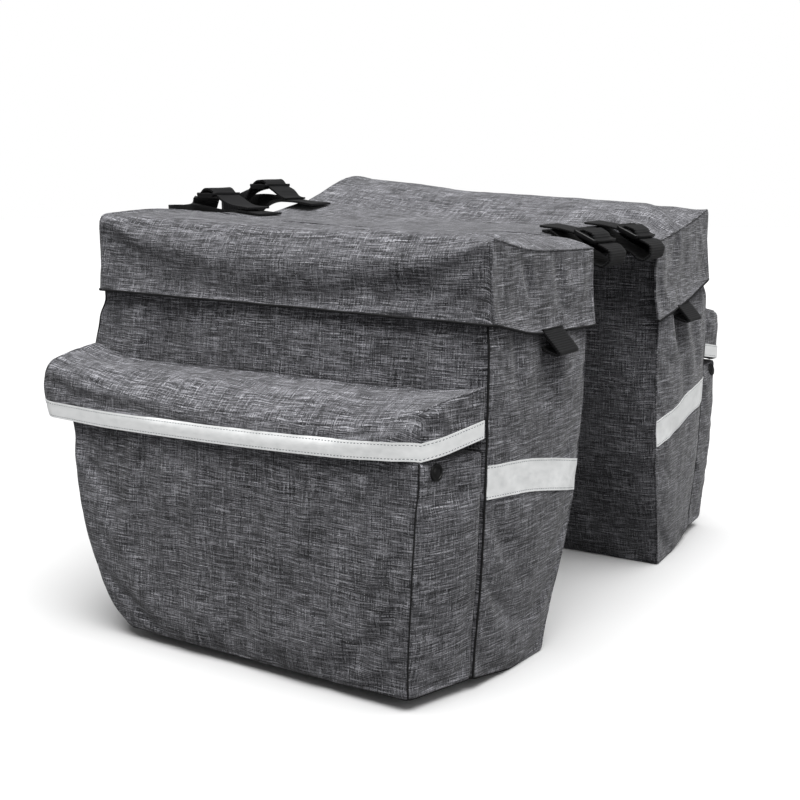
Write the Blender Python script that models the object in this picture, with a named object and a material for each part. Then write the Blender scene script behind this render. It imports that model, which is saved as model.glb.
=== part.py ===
"""Double bicycle pannier: two soft bags joined by one cloth bridge over the carrier.

Metres. +X runs to the rear of the bicycle, -Y is the near bag's side and +Z is up.
Both bags stand on their bottoms at z = 0, either side of the middle plane y = 0.
Inside this file a place is (x, out, z), where out is the distance from the middle plane.
"""
import math
from collections import namedtuple

import bmesh
import bpy
from mathutils import Vector

# Cloth, clearances and webbing
CLOTH = 0.002
GAP = 0.0003
SEAT_GAP = 0.0006
TAPE_THICKNESS = 0.0006
WEBBING = 0.0018
STRAP_WIDTH = 0.030

# Lids and the bridge between them
LID_LENGTH = 0.348
LID_WIDTH = 0.144
BRIDGE_WIDTH = 0.128
BRIDGE_REAR_SETBACK = 0.034
LID_LIFT = 0.030
LID_EDGE_RADIUS = 0.016
LID_END_RADIUS = 0.003
SKIRT_DROP_FRONT = 0.0285
SKIRT_DROP_REAR = 0.034

# The carrier that the bridge lies on
CARRIER_HEIGHT = 0.284
CARRIER_TUBE = 0.011
CARRIER_TUBE_SETBACK = 0.006

# Main bags
MOUTH_DROP = 0.006
HEEL_SLANT = 0.042
REAR_SLANT = 0.009
INNER_LEAN = 0.050
OUTER_BELLY = 0.009
BODY_CORNER = 0.005
BODY_INNER_INSET = 0.003
LID_SEAT = 0.0009
BOTTOM_ROUNDING = 0.005
BOTTOM_RISE = 0.008
BOTTOM_RISE_FADE = 0.30
BOTTOM_CENTRE_SHARE = 0.30

# Outer pockets and their flaps
POCKET_DEPTH = 0.053
POCKET_HEIGHT = 0.160
POCKET_LIFT = 0.0075
POCKET_FRONT_INSET = 0.016
POCKET_FRONT_SLANT = 0.052
NEAR_GUSSET_SETBACK = 0.019
FAR_GUSSET_SETBACK = 0.002
POCKET_BELLY = 0.005
POCKET_CORNER = 0.006
FLAP_RISE = 0.0435
FLAP_SAG = 0.030
FLAP_FRONT_OVERHANG = 0.021
FLAP_EDGE_RADIUS = 0.008
FLAP_END_RADIUS = 0.003
FLAP_HEM_FRONT = -0.0035
FLAP_HEM_REAR = 0.0015

# Reflective tapes
FLAP_TAPE_WIDTH = 0.012
SIDE_TAPE_WIDTH = 0.023
SIDE_TAPE_TOP = 0.157
SIDE_TAPE_SAG = 0.019

# Small hardware
LOOP_OUT = 0.133
LOOP_DROP = 0.026
LOOP_REACH = 0.012
SNAP_RADIUS = 0.006
SNAP_HEIGHT = 0.0025
SNAP_SHARE = 0.22
SNAP_BELOW_FLAP = 0.009
TUBE_CLEARANCE = 0.0008
REAR_STRAP_NEAR_OUT = 0.036
REAR_STRAP_FAR_OUT = 0.045
REAR_ANCHOR_REACH = 0.048
REAR_TAIL_REACH = 0.072
REAR_BUCKLE_PITCH = math.radians(25)
REAR_WRAP_START = -150
REAR_WRAP_END = 75
LIE_GAP = 0.0005
FRONT_ANCHOR_REACH = 0.060
FRONT_LEG_REACH = 0.074
FRONT_LEG_DIAMETER = 0.011
BUCKLE_LENGTH = 0.022
BUCKLE_WALL = 0.0022
BUCKLE_CHEEK = 0.0050
BUCKLE_BAR = 0.007
BUCKLE_CROWN = 0.6
BUCKLE_CHEEK_HEIGHT = 0.0040

# Mesh fineness
LID_COLUMNS = 12
LID_ROWS = 5
FLAP_COLUMNS = 12
FLAP_ROWS = 3
EDGE_STEPS = 3
SKIRT_STEPS = 2
LONG_SIDE_STEPS = 5
SHORT_SIDE_STEPS = 3
CORNER_STEPS = 2
BRIDGE_ROWS = 6
TAPE_COLUMNS = 6
BOTTOM_RINGS = 3
ROUND_SIDES = 16
WRAP_STEPS = 8
SHARP_ANGLE = math.radians(40)
MERGE_DISTANCE = 1e-6

FRONT = -LID_LENGTH / 2
REAR = LID_LENGTH / 2
LID_INNER = BRIDGE_WIDTH / 2
LID_OUTER = LID_INNER + LID_WIDTH
TUCK = CLOTH + GAP
TUBE_X = REAR + CARRIER_TUBE_SETBACK
BODY_FRONT = FRONT + TUCK
BODY_REAR = REAR - TUCK
BODY_INNER = LID_INNER + BODY_INNER_INSET
BODY_OUTER = LID_OUTER - TUCK
MOUTH_HEIGHT = CARRIER_HEIGHT - MOUTH_DROP
POCKET_MOUTH = POCKET_LIFT + POCKET_HEIGHT
FLAP_TOP = POCKET_MOUTH + FLAP_RISE
FLAP_LOW_FRONT = POCKET_MOUTH + FLAP_HEM_FRONT
FLAP_LOW_REAR = POCKET_MOUTH + FLAP_HEM_REAR

Side = namedtuple("Side", "name sign setback")
SIDES = (Side("near", -1, NEAR_GUSSET_SETBACK), Side("far", 1, FAR_GUSSET_SETBACK))

# Lid heights above the carrier, as shares of LID_LIFT: one row per cross section,
# along from the front edge (0) to the rear edge (1). Each lid has its height at its inner
# edge, at its crest and at its outer edge, and edge is the share of LID_EDGE_RADIUS.
Lid = namedtuple("Lid", "along mid near_inner near_crest near_outer far_inner far_crest far_outer edge")
LID_SECTIONS = (
    Lid(0.00, 0.84, 0.90, 1.08, 0.98, 1.18, 1.95, 1.60, 0.30),
    Lid(0.15, 0.75, 0.74, 0.96, 1.02, 1.00, 1.82, 1.52, 0.80),
    Lid(0.40, 0.60, 0.62, 0.80, 0.92, 0.72, 1.50, 1.34, 1.00),
    Lid(0.60, 0.58, 0.58, 0.77, 0.88, 0.58, 1.38, 1.26, 1.00),
    Lid(0.80, 0.58, 0.58, 0.79, 0.84, 0.58, 1.26, 1.18, 0.90),
    Lid(0.93, 0.48, 0.50, 0.70, 0.80, 0.46, 1.08, 1.10, 0.60),
    Lid(1.00, 0.30, 0.25, 0.33, 0.72, 0.20, 0.60, 1.02, 0.25),
)
CREST_SHARE = 0.57

# Main bag sections, height from the bottom (0) to the mouth (1). front, rear, inner and
# outer are shares of HEEL_SLANT, REAR_SLANT, INNER_LEAN and OUTER_BELLY, and under is 1
# where the wall runs up inside the lid's skirt.
Body = namedtuple("Body", "height front rear inner outer under")
BODY_SECTIONS = (
    Body(0.000, 1.00, 1.00, 1.00, 0.55, 0),
    Body(0.020, 0.97, 0.98, 0.98, 0.70, 0),
    Body(0.115, 0.82, 0.80, 0.84, 0.90, 0),
    Body(0.270, 0.50, 0.45, 0.52, 1.10, 0),
    Body(0.410, 0.28, 0.25, 0.31, 1.10, 0),
    Body(0.560, 0.14, 0.12, 0.20, 1.00, 0),
    Body(0.700, 0.06, 0.04, 0.13, 0.80, 0),
    Body(0.845, 0.01, 0.00, 0.13, 0.35, 0),
    Body(0.885, 0.00, 0.00, 0.10, 0.00, 1),
    Body(1.000, 0.00, 0.00, 0.00, 0.00, 1),
)

# Pocket sections, height from its bottom (0) to its mouth (1). front is a share of
# POCKET_FRONT_SLANT, belly of POCKET_BELLY, inset of POCKET_CORNER, and under is 1
# where the wall runs up inside the flap's skirt.
Pocket = namedtuple("Pocket", "height front belly inset under")
POCKET_SECTIONS = (
    Pocket(0.000, 1.08, 0.10, 0.50, 0),
    Pocket(0.035, 0.98, 0.30, 0.00, 0),
    Pocket(0.100, 0.77, 0.50, 0.00, 0),
    Pocket(0.230, 0.57, 0.80, 0.00, 0),
    Pocket(0.500, 0.29, 1.00, 0.00, 0),
    Pocket(0.780, 0.13, 0.60, 0.00, 0),
    Pocket(0.910, 0.08, 0.00, 0.00, 1),
    Pocket(1.000, 0.03, 0.00, 0.00, 1),
)

# Flap sections from its front end (0) to its rear end (1): how far its inner line and its
# outer edge sag below FLAP_TOP, as shares of FLAP_SAG, the puff between them and the share
# of FLAP_EDGE_RADIUS at the outer edge.
Flap = namedtuple("Flap", "along inner outer puff edge")
FLAP_SECTIONS = (
    Flap(0.00, -0.06, 0.15, 0.05, 0.45),
    Flap(0.07, 0.05, 0.30, 0.12, 0.70),
    Flap(0.22, 0.45, 0.72, 0.20, 1.00),
    Flap(0.50, 0.55, 0.92, 0.22, 1.00),
    Flap(0.80, 0.50, 0.84, 0.20, 1.00),
    Flap(0.93, 0.28, 0.45, 0.12, 0.70),
    Flap(1.00, 0.03, 0.08, 0.00, 0.45),
)

# Side tape heights below SIDE_TAPE_TOP, as shares of SIDE_TAPE_SAG, across the bag's rear
# side from its outer corner (0) to its inner corner (1).
Tape = namedtuple("Tape", "across sag")
SIDE_TAPE_SECTIONS = (
    Tape(0.0, 0.00),
    Tape(0.3, 0.10),
    Tape(0.6, 0.45),
    Tape(1.0, 1.00),
)

# Front strap routes. ahead is the distance in front of the lid's front edge, as a share of
# FRONT_LEG_REACH, side is in leg radii from the leg's middle, lift is a share of LID_LIFT
# above the webbing where it leaves the bridge, and roll turns the webbing from lying flat
# (0) to standing on edge (1).
Route = namedtuple("Route", "ahead side lift roll")
FRONT_LEG_OUT = 0.037
FRONT_STRAP_OUT = (
    Route(0.10, 0.0, -0.02, 0.00),
    Route(0.25, 0.2, -0.06, 0.15),
    Route(0.50, 0.5, -0.22, 0.55),
    Route(0.75, 0.8, -0.36, 0.95),
)
FRONT_STRAP_BACK = (
    Route(0.78, -0.7, -0.30, 0.95),
    Route(0.62, -0.5, 0.05, 0.45),
    Route(0.48, 0.0, 0.34, 0.00),
    Route(0.16, 0.0, 0.40, 0.00),
    Route(-0.20, 0.0, 0.30, 0.00),
)
BUCKLE_AHEAD = 0.32
BUCKLE_LIFT = 0.38
LEG_LIFT = -0.38
FRONT_WRAP_HALF = 110

# Rear strap places between the bridge and the carrier's rear tube, ahead of and above the
# tube's middle, in radii of the webbing's wrap.
Wrap = namedtuple("Wrap", "ahead lift")
REAR_STRAP_DOWN = (
    Wrap(3.30, 0.75),
    Wrap(1.80, 0.00),
)
REAR_RUN_START = Wrap(0.35, 1.15)
REAR_TAIL_BEND = 0.65

# Webbing loop from its top end round to its lower one, as shares of LOOP_REACH out from the
# bag and of LOOP_DROP down from the lid's skirt.
Fold = namedtuple("Fold", "out down")
LOOP_FOLDS = (
    Fold(0.00, 0.00),
    Fold(0.55, 0.25),
    Fold(0.95, 0.65),
    Fold(1.00, 0.88),
    Fold(0.72, 1.00),
    Fold(0.35, 0.80),
    Fold(0.00, 0.45),
)

# Press stud outline from its middle out and down to its seat, as shares of SNAP_RADIUS and
# SNAP_HEIGHT.
Stud = namedtuple("Stud", "radius lift")
SNAP_OUTLINE = (
    Stud(0.00, 1.50),
    Stud(0.41, 1.50),
    Stud(0.58, 1.00),
    Stud(0.80, 1.00),
    Stud(1.00, 0.50),
    Stud(1.00, 0.00),
    Stud(0.00, 0.00),
)

Finish = namedtuple("Finish", "colour roughness")
CLOTH_FINISH = Finish((0.100, 0.100, 0.106), 0.90)
WEBBING_FINISH = Finish((0.012, 0.012, 0.013), 0.80)
TAPE_FINISH = Finish((0.620, 0.630, 0.640), 0.45)
PLASTIC_FINISH = Finish((0.015, 0.015, 0.016), 0.45)


def clear_scene():
    """Remove everything that the scene holds."""
    for item in list(bpy.data.objects):
        bpy.data.objects.remove(item, do_unlink=True)


def material(name, finish):
    """Return the named material, made on first use."""
    found = bpy.data.materials.get(name)
    if found:
        return found
    made = bpy.data.materials.new(name)
    made.use_nodes = True
    shader = made.node_tree.nodes["Principled BSDF"]
    shader.inputs["Base Color"].default_value = (*finish.colour, 1.0)
    shader.inputs["Roughness"].default_value = finish.roughness
    shader.inputs["Metallic"].default_value = 0.0
    made.diffuse_color = (*finish.colour, 1.0)
    return made


def blend(rows, where):
    """Read a table's columns at a place between its rows, along a smooth curve."""
    last = len(rows) - 1
    index = 0
    while index < last - 1 and rows[index + 1][0] < where:
        index += 1
    before, start = rows[max(index - 1, 0)], rows[index]
    end, after = rows[index + 1], rows[min(index + 2, last)]
    share = (where - start[0]) / (end[0] - start[0])
    share = min(max(share, 0.0), 1.0)
    values = []
    for column in range(len(start)):
        slope_in = steady_slope(before, start, end, column) * (end[0] - start[0])
        slope_out = steady_slope(start, end, after, column) * (end[0] - start[0])
        values.append(hermite(start[column], end[column], slope_in, slope_out, share))
    return type(start)(*values)


def straight_blend(rows, where):
    """Read a table's columns at a place between its rows, along straight lines."""
    index = 0
    while index < len(rows) - 2 and rows[index + 1][0] < where:
        index += 1
    start, end = rows[index], rows[index + 1]
    share = min(max((where - start[0]) / (end[0] - start[0]), 0.0), 1.0)
    return type(start)(*(mix(first, second, share) for first, second in zip(start, end)))


def steady_slope(before, here, after, column):
    """Slope of a column at a row, flat at a peak so that the curve never overshoots."""
    if before is here or here is after:
        return (after[column] - before[column]) / (after[0] - before[0])
    left = (here[column] - before[column]) / (here[0] - before[0])
    right = (after[column] - here[column]) / (after[0] - here[0])
    if left * right <= 0.0:
        return 0.0
    return 2.0 * left * right / (left + right)


def hermite(start, end, slope_in, slope_out, share):
    """Cubic between two values with the given slopes."""
    square = share * share
    cube = square * share
    return ((2 * cube - 3 * square + 1) * start + (cube - 2 * square + share) * slope_in
            + (3 * square - 2 * cube) * end + (cube - square) * slope_out)


def mix(start, end, share):
    """Straight blend of two values."""
    return start + (end - start) * share


def shares(steps):
    """Evenly spaced shares from 0 to 1."""
    return [step / steps for step in range(steps + 1)]


def place(side, point):
    """Turn (x, out, z) on one side into a place in the model."""
    return Vector((point[0], side.sign * point[1], point[2]))


def new_object(name, mesh_builder, finish_name, finish):
    """Make an object from a filled bmesh, with its material and smooth shading."""
    mesh = bpy.data.meshes.new(name)
    mesh_builder.to_mesh(mesh)
    mesh_builder.free()
    item = bpy.data.objects.new(name, mesh)
    bpy.context.scene.collection.objects.link(item)
    mesh.materials.append(material(finish_name, finish))
    mesh.shade_smooth()
    mesh.set_sharp_from_angle(angle=SHARP_ANGLE)
    return item


def give_wall(item, thickness, even=True):
    """Give a skin its wall, inwards from the modelled face."""
    wall = item.modifiers.new("wall", "SOLIDIFY")
    wall.thickness = thickness
    wall.offset = -1.0
    wall.use_even_offset = even
    wall.use_rim = True


def add_rows(builder, side, rows):
    """Add rows of places to the builder."""
    return [[builder.verts.new(place(side, point)) for point in row] for row in rows]


def skin(builder, rows, closed=False):
    """Join neighbouring rows of vertices with quads."""
    for upper, lower in zip(rows, rows[1:]):
        count = len(upper)
        for index in range(count if closed else count - 1):
            following = (index + 1) % count
            builder.faces.new((upper[index], upper[following], lower[following], lower[index]))


def face_away(builder, side, inside):
    """Point a skin's faces away from a place (x, out, z) that lies inside it."""
    middle = place(side, inside)
    builder.normal_update()
    facing = sum(face.calc_area() * face.normal.dot(face.calc_center_median() - middle)
                 for face in builder.faces)
    if facing < 0.0:
        bmesh.ops.reverse_faces(builder, faces=builder.faces)


def lid_height(side, along, across):
    """Height of the lid's top, across from the inner edge (0) to the outer edge (1)."""
    section = blend(LID_SECTIONS, along)
    inner = getattr(section, side.name + "_inner")
    crest = getattr(section, side.name + "_crest")
    outer = getattr(section, side.name + "_outer")
    Point = namedtuple("Point", "across lift")
    profile = (Point(0.0, inner), Point(CREST_SHARE, crest), Point(1.0, outer))
    return CARRIER_HEIGHT + LID_LIFT * blend(profile, across).lift


def skirt_low(along):
    """Height of the lid skirt's lower edge."""
    return CARRIER_HEIGHT - mix(SKIRT_DROP_FRONT, SKIRT_DROP_REAR, along)


def rim_path(columns, rows):
    """Grid places round the free edges of a cap: front end, outer edge, rear end."""
    path = [(0, row, -1, 0) for row in range(rows)]
    path.append((0, rows, -1, 1))
    path += [(column, rows, 0, 1) for column in range(1, columns)]
    path.append((columns, rows, 1, 1))
    path += [(columns, row, 1, 0) for row in reversed(range(rows))]
    return path


def cap_rim(grid, path, end_radius, edge_radius, low):
    """Rows that round a cap's edge over and hang its skirt.

    edge_radius and low are functions of the share along the cap.
    """
    columns = len(grid) - 1
    rows = []
    for step in range(1, EDGE_STEPS + 1):
        angle = math.pi / 2 * step / EDGE_STEPS
        row = []
        for column, line, move_x, move_out in path:
            point = grid[column][line]
            outer = edge_radius(column / columns)
            drop = outer if move_x == 0 else end_radius
            row.append((point[0] + move_x * end_radius * math.sin(angle),
                        point[1] + move_out * outer * math.sin(angle),
                        point[2] - drop * (1 - math.cos(angle))))
        rows.append(row)
    top = rows[-1]
    for step in range(1, SKIRT_STEPS + 1):
        row = []
        for point, (column, _, _, _) in zip(top, path):
            height = mix(point[2], low(column / columns), step / SKIRT_STEPS)
            row.append((point[0], point[1], height))
        rows.append(row)
    return rows


def build_cap(builder, side, grid, path, rim_rows):
    """Fill a cap's top and join its rim rows to the top's free edges."""
    top = add_rows(builder, side, grid)
    skin(builder, top)
    edge = [top[column][line] for column, line, _, _ in path]
    rim = add_rows(builder, side, rim_rows)
    skin(builder, [edge] + rim)
    bmesh.ops.recalc_face_normals(builder, faces=builder.faces)
    first, last = grid[0][0], grid[-1][-1]
    face_away(builder, side, (mix(first[0], last[0], 0.5), first[1], rim_rows[-1][0][2]))


def lid_edge(along):
    """Radius of the lid's outer edge."""
    return LID_EDGE_RADIUS * blend(LID_SECTIONS, along).edge


def lid_grid(side):
    """Top of a lid inside its rounded edges."""
    grid = []
    for along in shares(LID_COLUMNS):
        x = mix(FRONT + LID_END_RADIUS, REAR - LID_END_RADIUS, along)
        outer = LID_OUTER - lid_edge(along)
        grid.append([(x, mix(LID_INNER + GAP / 2, outer, across), lid_height(side, along, across))
                     for across in shares(LID_ROWS)])
    return grid


def make_lid(side):
    """Soft box lid: a crowned top with a skirt on its front, outer and rear sides."""
    builder = bmesh.new()
    grid = lid_grid(side)
    path = rim_path(LID_COLUMNS, LID_ROWS)
    rim = cap_rim(grid, path, LID_END_RADIUS, lid_edge, skirt_low)
    build_cap(builder, side, grid, path, rim)
    give_wall(new_object("lid_" + side.name, builder, "cloth", CLOTH_FINISH), CLOTH)


def bridge_height(along, across):
    """Height of the bridge's top, across from the near lid (-1) to the far lid (1)."""
    section = blend(LID_SECTIONS, along)
    Point = namedtuple("Point", "across lift")
    profile = (Point(-1.0, section.near_inner), Point(0.0, section.mid), Point(1.0, section.far_inner))
    return CARRIER_HEIGHT + LID_LIFT * blend(profile, across).lift


def bridge_share(x):
    """Share along the lids of a place on the bridge."""
    return (x - FRONT - LID_END_RADIUS) / (LID_LENGTH - 2 * LID_END_RADIUS)


def make_bridge():
    """Cloth sheet between the lids, over the carrier."""
    builder = bmesh.new()
    middle = Side("bridge", 1, 0.0)
    front = FRONT + LID_END_RADIUS
    rear = REAR - BRIDGE_REAR_SETBACK
    half = LID_INNER - GAP / 2
    grid = []
    for share in shares(LID_COLUMNS):
        x = mix(front, rear, share)
        grid.append([(x, across * half, bridge_height(bridge_share(x), across))
                     for across in [2 * row / BRIDGE_ROWS - 1 for row in range(BRIDGE_ROWS + 1)]])
    skin(builder, add_rows(builder, middle, grid))
    face_away(builder, middle, (0.0, 0.0, 0.0))
    give_wall(new_object("bridge", builder, "cloth", CLOTH_FINISH), CLOTH)


def body_section(height):
    """Walls of the main bag at a height above the floor: front, rear, inner and outer."""
    section = straight_blend(BODY_SECTIONS, height / MOUTH_HEIGHT)
    loose = (1.0 - section.under) * TUCK
    return (BODY_FRONT - loose + section.front * HEEL_SLANT,
            BODY_REAR + loose - section.rear * REAR_SLANT,
            BODY_INNER + section.inner * INNER_LEAN,
            BODY_OUTER + loose + section.outer * OUTER_BELLY)


def bottom_rise(height, share):
    """How far a bag's underside lifts, share from its inner edge (0) to its outer edge (1)."""
    fade = max(0.0, 1.0 - height / (BOTTOM_RISE_FADE * MOUTH_HEIGHT))
    slope = max(0.0, 2.0 * share - 1.0)
    return BOTTOM_RISE * slope * fade


def ring(front, rear, inner, outer, radius):
    """Rounded rectangle in plan, from the front inner corner along the inner wall."""
    corners = (
        (front + radius, inner + radius, 180, LONG_SIDE_STEPS),
        (rear - radius, inner + radius, 270, SHORT_SIDE_STEPS),
        (rear - radius, outer - radius, 0, LONG_SIDE_STEPS),
        (front + radius, outer - radius, 90, SHORT_SIDE_STEPS),
    )
    arcs = []
    for centre_x, centre_out, start, _ in corners:
        angles = [math.radians(start + 90 * share) for share in shares(CORNER_STEPS)]
        arcs.append([(centre_x + radius * math.cos(angle), centre_out + radius * math.sin(angle))
                     for angle in angles])
    points = []
    for index, arc in enumerate(arcs):
        points += arc
        target = arcs[(index + 1) % len(arcs)][0]
        steps = corners[index][3]
        for step in range(1, steps):
            points.append((mix(arc[-1][0], target[0], step / steps),
                           mix(arc[-1][1], target[1], step / steps)))
    return points


def body_rows(side):
    """Rings of the main bag from its mouth down to its bottom edge."""
    rows = []
    for section in reversed(BODY_SECTIONS):
        height = section.height * MOUTH_HEIGHT
        front, rear, inner, outer = body_section(height)
        inset = BOTTOM_ROUNDING if section.height == 0.0 else 0.0
        row = []
        for x, out in ring(front + inset, rear - inset, inner + inset, outer - inset, BODY_CORNER):
            lift = bottom_rise(height, (out - inner) / (outer - inner))
            row.append((x, out, height + lift))
        rows.append(row)
    return rows


def sewn_mouth(side, row):
    """Raise the mouth's inner line to the lid, where the bag's back is sewn on."""
    inner = min(point[1] for point in row)
    reach = LID_LENGTH / 2 - 2 * BODY_CORNER
    raised = []
    for x, out, height in row:
        if out < inner + GAP and abs(x) < reach:
            height = lid_height(side, bridge_share(x), 0.0) - CLOTH - LID_SEAT
        raised.append((x, out, height))
    return raised


def make_body(side):
    """Main bag: an open-topped cloth shell that narrows to its bottom."""
    builder = bmesh.new()
    rows = body_rows(side)
    rows[0] = sewn_mouth(side, rows[0])
    low = rows[-1]
    front, rear, inner, outer = body_section(0.0)
    centre = (sum(point[0] for point in low) / len(low), mix(inner, outer, BOTTOM_CENTRE_SHARE))
    for ring_index in range(1, BOTTOM_RINGS):
        shrink = 1.0 - ring_index / BOTTOM_RINGS
        row = []
        for x, out, _ in low:
            new_x = mix(centre[0], x, shrink)
            new_out = mix(centre[1], out, shrink)
            row.append((new_x, new_out, bottom_rise(0.0, (new_out - inner) / (outer - inner))))
        rows.append(row)
    rings = add_rows(builder, side, rows)
    skin(builder, rings, closed=True)
    middle = builder.verts.new(place(side, (*centre, 0.0)))
    last = rings[-1]
    for index, corner in enumerate(last):
        builder.faces.new((corner, last[(index + 1) % len(last)], middle))
    face_away(builder, side, (0.0, mix(BODY_INNER, BODY_OUTER, 0.5), MOUTH_HEIGHT / 2))
    give_wall(new_object("bag_" + side.name, builder, "cloth", CLOTH_FINISH), CLOTH)


def pocket_plan(side, height):
    """Corners of the pocket's walls at a height: front and rear, at its face and at the bag."""
    share = (height - POCKET_LIFT) / POCKET_HEIGHT
    section = blend(POCKET_SECTIONS, share)
    _, rear, _, outer = body_section(height)
    seat = outer + SEAT_GAP
    face = BODY_OUTER + TUCK + POCKET_DEPTH - section.under * TUCK + section.belly * POCKET_BELLY
    front = FRONT + POCKET_FRONT_INSET + section.front * POCKET_FRONT_SLANT + section.under * TUCK
    rear_seat = rear - BODY_CORNER - TUCK
    rear_face = rear - side.setback - TUCK
    return section, front, rear_seat, rear_face, seat, face


def wall_lean(start, end, setback):
    """How far the inside of a slanted end wall reaches past its outside, in plan."""
    return CLOTH * setback / math.hypot(setback, end - start)


def pocket_row(side, height):
    """Open row of the pocket's walls: rear gusset, face and front gusset."""
    section, front, rear_seat, rear_face, seat, face = pocket_plan(side, height)
    inset = section.inset * POCKET_CORNER
    corner = POCKET_CORNER
    chamfer = corner * (1 - math.sqrt(0.5))
    rear_root = seat + wall_lean(seat, face - corner, rear_seat - rear_face)
    row = [(mix(rear_seat, rear_face, share), mix(rear_root, face - corner, share), height)
           for share in shares(SHORT_SIDE_STEPS)]
    row.append((rear_face - chamfer, face - inset - chamfer, height))
    row += [(mix(rear_face - corner, front + corner, share), face - inset, height)
            for share in shares(2 * LONG_SIDE_STEPS)]
    row.append((front + chamfer, face - inset - chamfer, height))
    row += [(front, mix(face - corner, seat, share), height) for share in shares(SHORT_SIDE_STEPS)]
    return row


def pocket_bottom(builder, side, row, edge):
    """Panel that closes the pocket's bottom, from its face's edge back to the bag."""
    count = SHORT_SIDE_STEPS
    across = len(row) - 2 * count
    upper = edge[count:len(edge) - count]
    for step in range(1, count + 1):
        start, end = row[count - step], row[len(row) - 1 - count + step]
        inner = [[(mix(start[0], end[0], share), mix(start[1], end[1], share), start[2])
                  for share in shares(across - 1)[1:-1]]]
        between = add_rows(builder, side, inner)[0]
        lower = [edge[count - step], *between, edge[len(edge) - 1 - count + step]]
        skin(builder, [upper, lower])
        upper = lower


def make_pocket(side):
    """Outer pocket: gussets, face and bottom, open towards the bag and under its flap."""
    builder = bmesh.new()
    heights = [POCKET_LIFT + section.height * POCKET_HEIGHT for section in reversed(POCKET_SECTIONS)]
    rows = [pocket_row(side, height) for height in heights]
    walls = add_rows(builder, side, rows)
    skin(builder, walls)
    pocket_bottom(builder, side, rows[-1], walls[-1])
    bmesh.ops.recalc_face_normals(builder, faces=builder.faces)
    face_away(builder, side, (0.0, BODY_OUTER, POCKET_LIFT + POCKET_HEIGHT / 2))
    give_wall(new_object("pocket_" + side.name, builder, "cloth", CLOTH_FINISH), CLOTH, even=False)


def flap_low(along):
    """Height of the flap skirt's lower edge."""
    return mix(FLAP_LOW_FRONT, FLAP_LOW_REAR, along)


def flap_edge(along):
    """Radius of the flap's outer edge."""
    return FLAP_EDGE_RADIUS * blend(FLAP_SECTIONS, along).edge


def flap_grid(side):
    """Top of a flap inside its rounded edges."""
    face = BODY_OUTER + TUCK + POCKET_DEPTH + CLOTH + GAP
    front = FRONT + POCKET_FRONT_INSET - FLAP_FRONT_OVERHANG + FLAP_END_RADIUS
    grid = []
    for along in shares(FLAP_COLUMNS):
        section = blend(FLAP_SECTIONS, along)
        row = []
        for across in shares(FLAP_ROWS):
            drop = mix(section.inner, section.outer, across) - section.puff * math.sin(math.pi * across)
            height = FLAP_TOP - FLAP_SAG * drop
            _, rear, _, outer = body_section(height)
            seat = outer + SEAT_GAP
            rear_end = mix(rear - BODY_CORNER, rear - side.setback, across) - FLAP_END_RADIUS + TUCK
            row.append((mix(front, rear_end, along),
                        mix(seat, face - flap_edge(along), across), height))
        grid.append(row)
    return grid


def flap_rim(side, grid, path):
    """Rounded edge and skirt of a flap, with its ends seated on the bag's side."""
    rim = cap_rim(grid, path, FLAP_END_RADIUS, flap_edge, flap_low)
    lean = wall_lean(0.0, POCKET_DEPTH, side.setback - BODY_CORNER)
    seated = []
    for row in rim:
        fixed = []
        for (x, out, height), (_, line, move_x, _) in zip(row, path):
            if line == 0:
                out = body_section(height)[3] + SEAT_GAP + max(move_x, 0) * lean
            fixed.append((x, out, height))
        seated.append(fixed)
    return seated


def make_flap(side):
    """Pocket flap: a puffed sloping top with a short skirt."""
    builder = bmesh.new()
    grid = flap_grid(side)
    path = rim_path(FLAP_COLUMNS, FLAP_ROWS)
    build_cap(builder, side, grid, path, flap_rim(side, grid, path))
    give_wall(new_object("flap_" + side.name, builder, "cloth", CLOTH_FINISH), CLOTH, even=False)


def offset_plan(row, distance):
    """Move an open row of places outwards in plan, mitred at its corners."""
    sides = []
    for start, end in zip(row, row[1:]):
        run = Vector((end[0] - start[0], end[1] - start[1])).normalized()
        sides.append(Vector((-run.y, run.x)))
    moved = []
    for index, point in enumerate(row):
        before = sides[max(index - 1, 0)]
        after = sides[min(index, len(sides) - 1)]
        mitre = (before + after) / (1.0 + before.dot(after))
        moved.append((point[0] + mitre.x * distance, point[1] + mitre.y * distance, point[2]))
    return moved


def make_flap_tape(side):
    """Reflective tape round the flap's lower edge."""
    builder = bmesh.new()
    grid = flap_grid(side)
    path = rim_path(FLAP_COLUMNS, FLAP_ROWS)
    low = offset_plan(flap_rim(side, grid, path)[-1], GAP + TAPE_THICKNESS)
    high = [(x, out, height + FLAP_TAPE_WIDTH) for x, out, height in low]
    skin(builder, add_rows(builder, side, [high, low]))
    face_away(builder, side, (0.0, BODY_OUTER, flap_low(0.5)))
    give_wall(new_object("flap_tape_" + side.name, builder, "tape", TAPE_FINISH), TAPE_THICKNESS)


def make_side_tape(side):
    """Wide reflective tape across the bag's rear side."""
    builder = bmesh.new()
    rows = []
    for level in shares(2):
        row = []
        for across in shares(TAPE_COLUMNS):
            sag = blend(SIDE_TAPE_SECTIONS, across).sag * SIDE_TAPE_SAG
            height = SIDE_TAPE_TOP - sag - level * SIDE_TAPE_WIDTH
            _, rear, inner, outer = body_section(height)
            row.append((rear + GAP + TAPE_THICKNESS,
                        mix(outer - BODY_CORNER, inner + BODY_CORNER, across), height))
        rows.append(row)
    skin(builder, add_rows(builder, side, rows))
    face_away(builder, side, (0.0, mix(BODY_INNER, BODY_OUTER, 0.5), SIDE_TAPE_TOP))
    give_wall(new_object("side_tape_" + side.name, builder, "tape", TAPE_FINISH), TAPE_THICKNESS)


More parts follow.
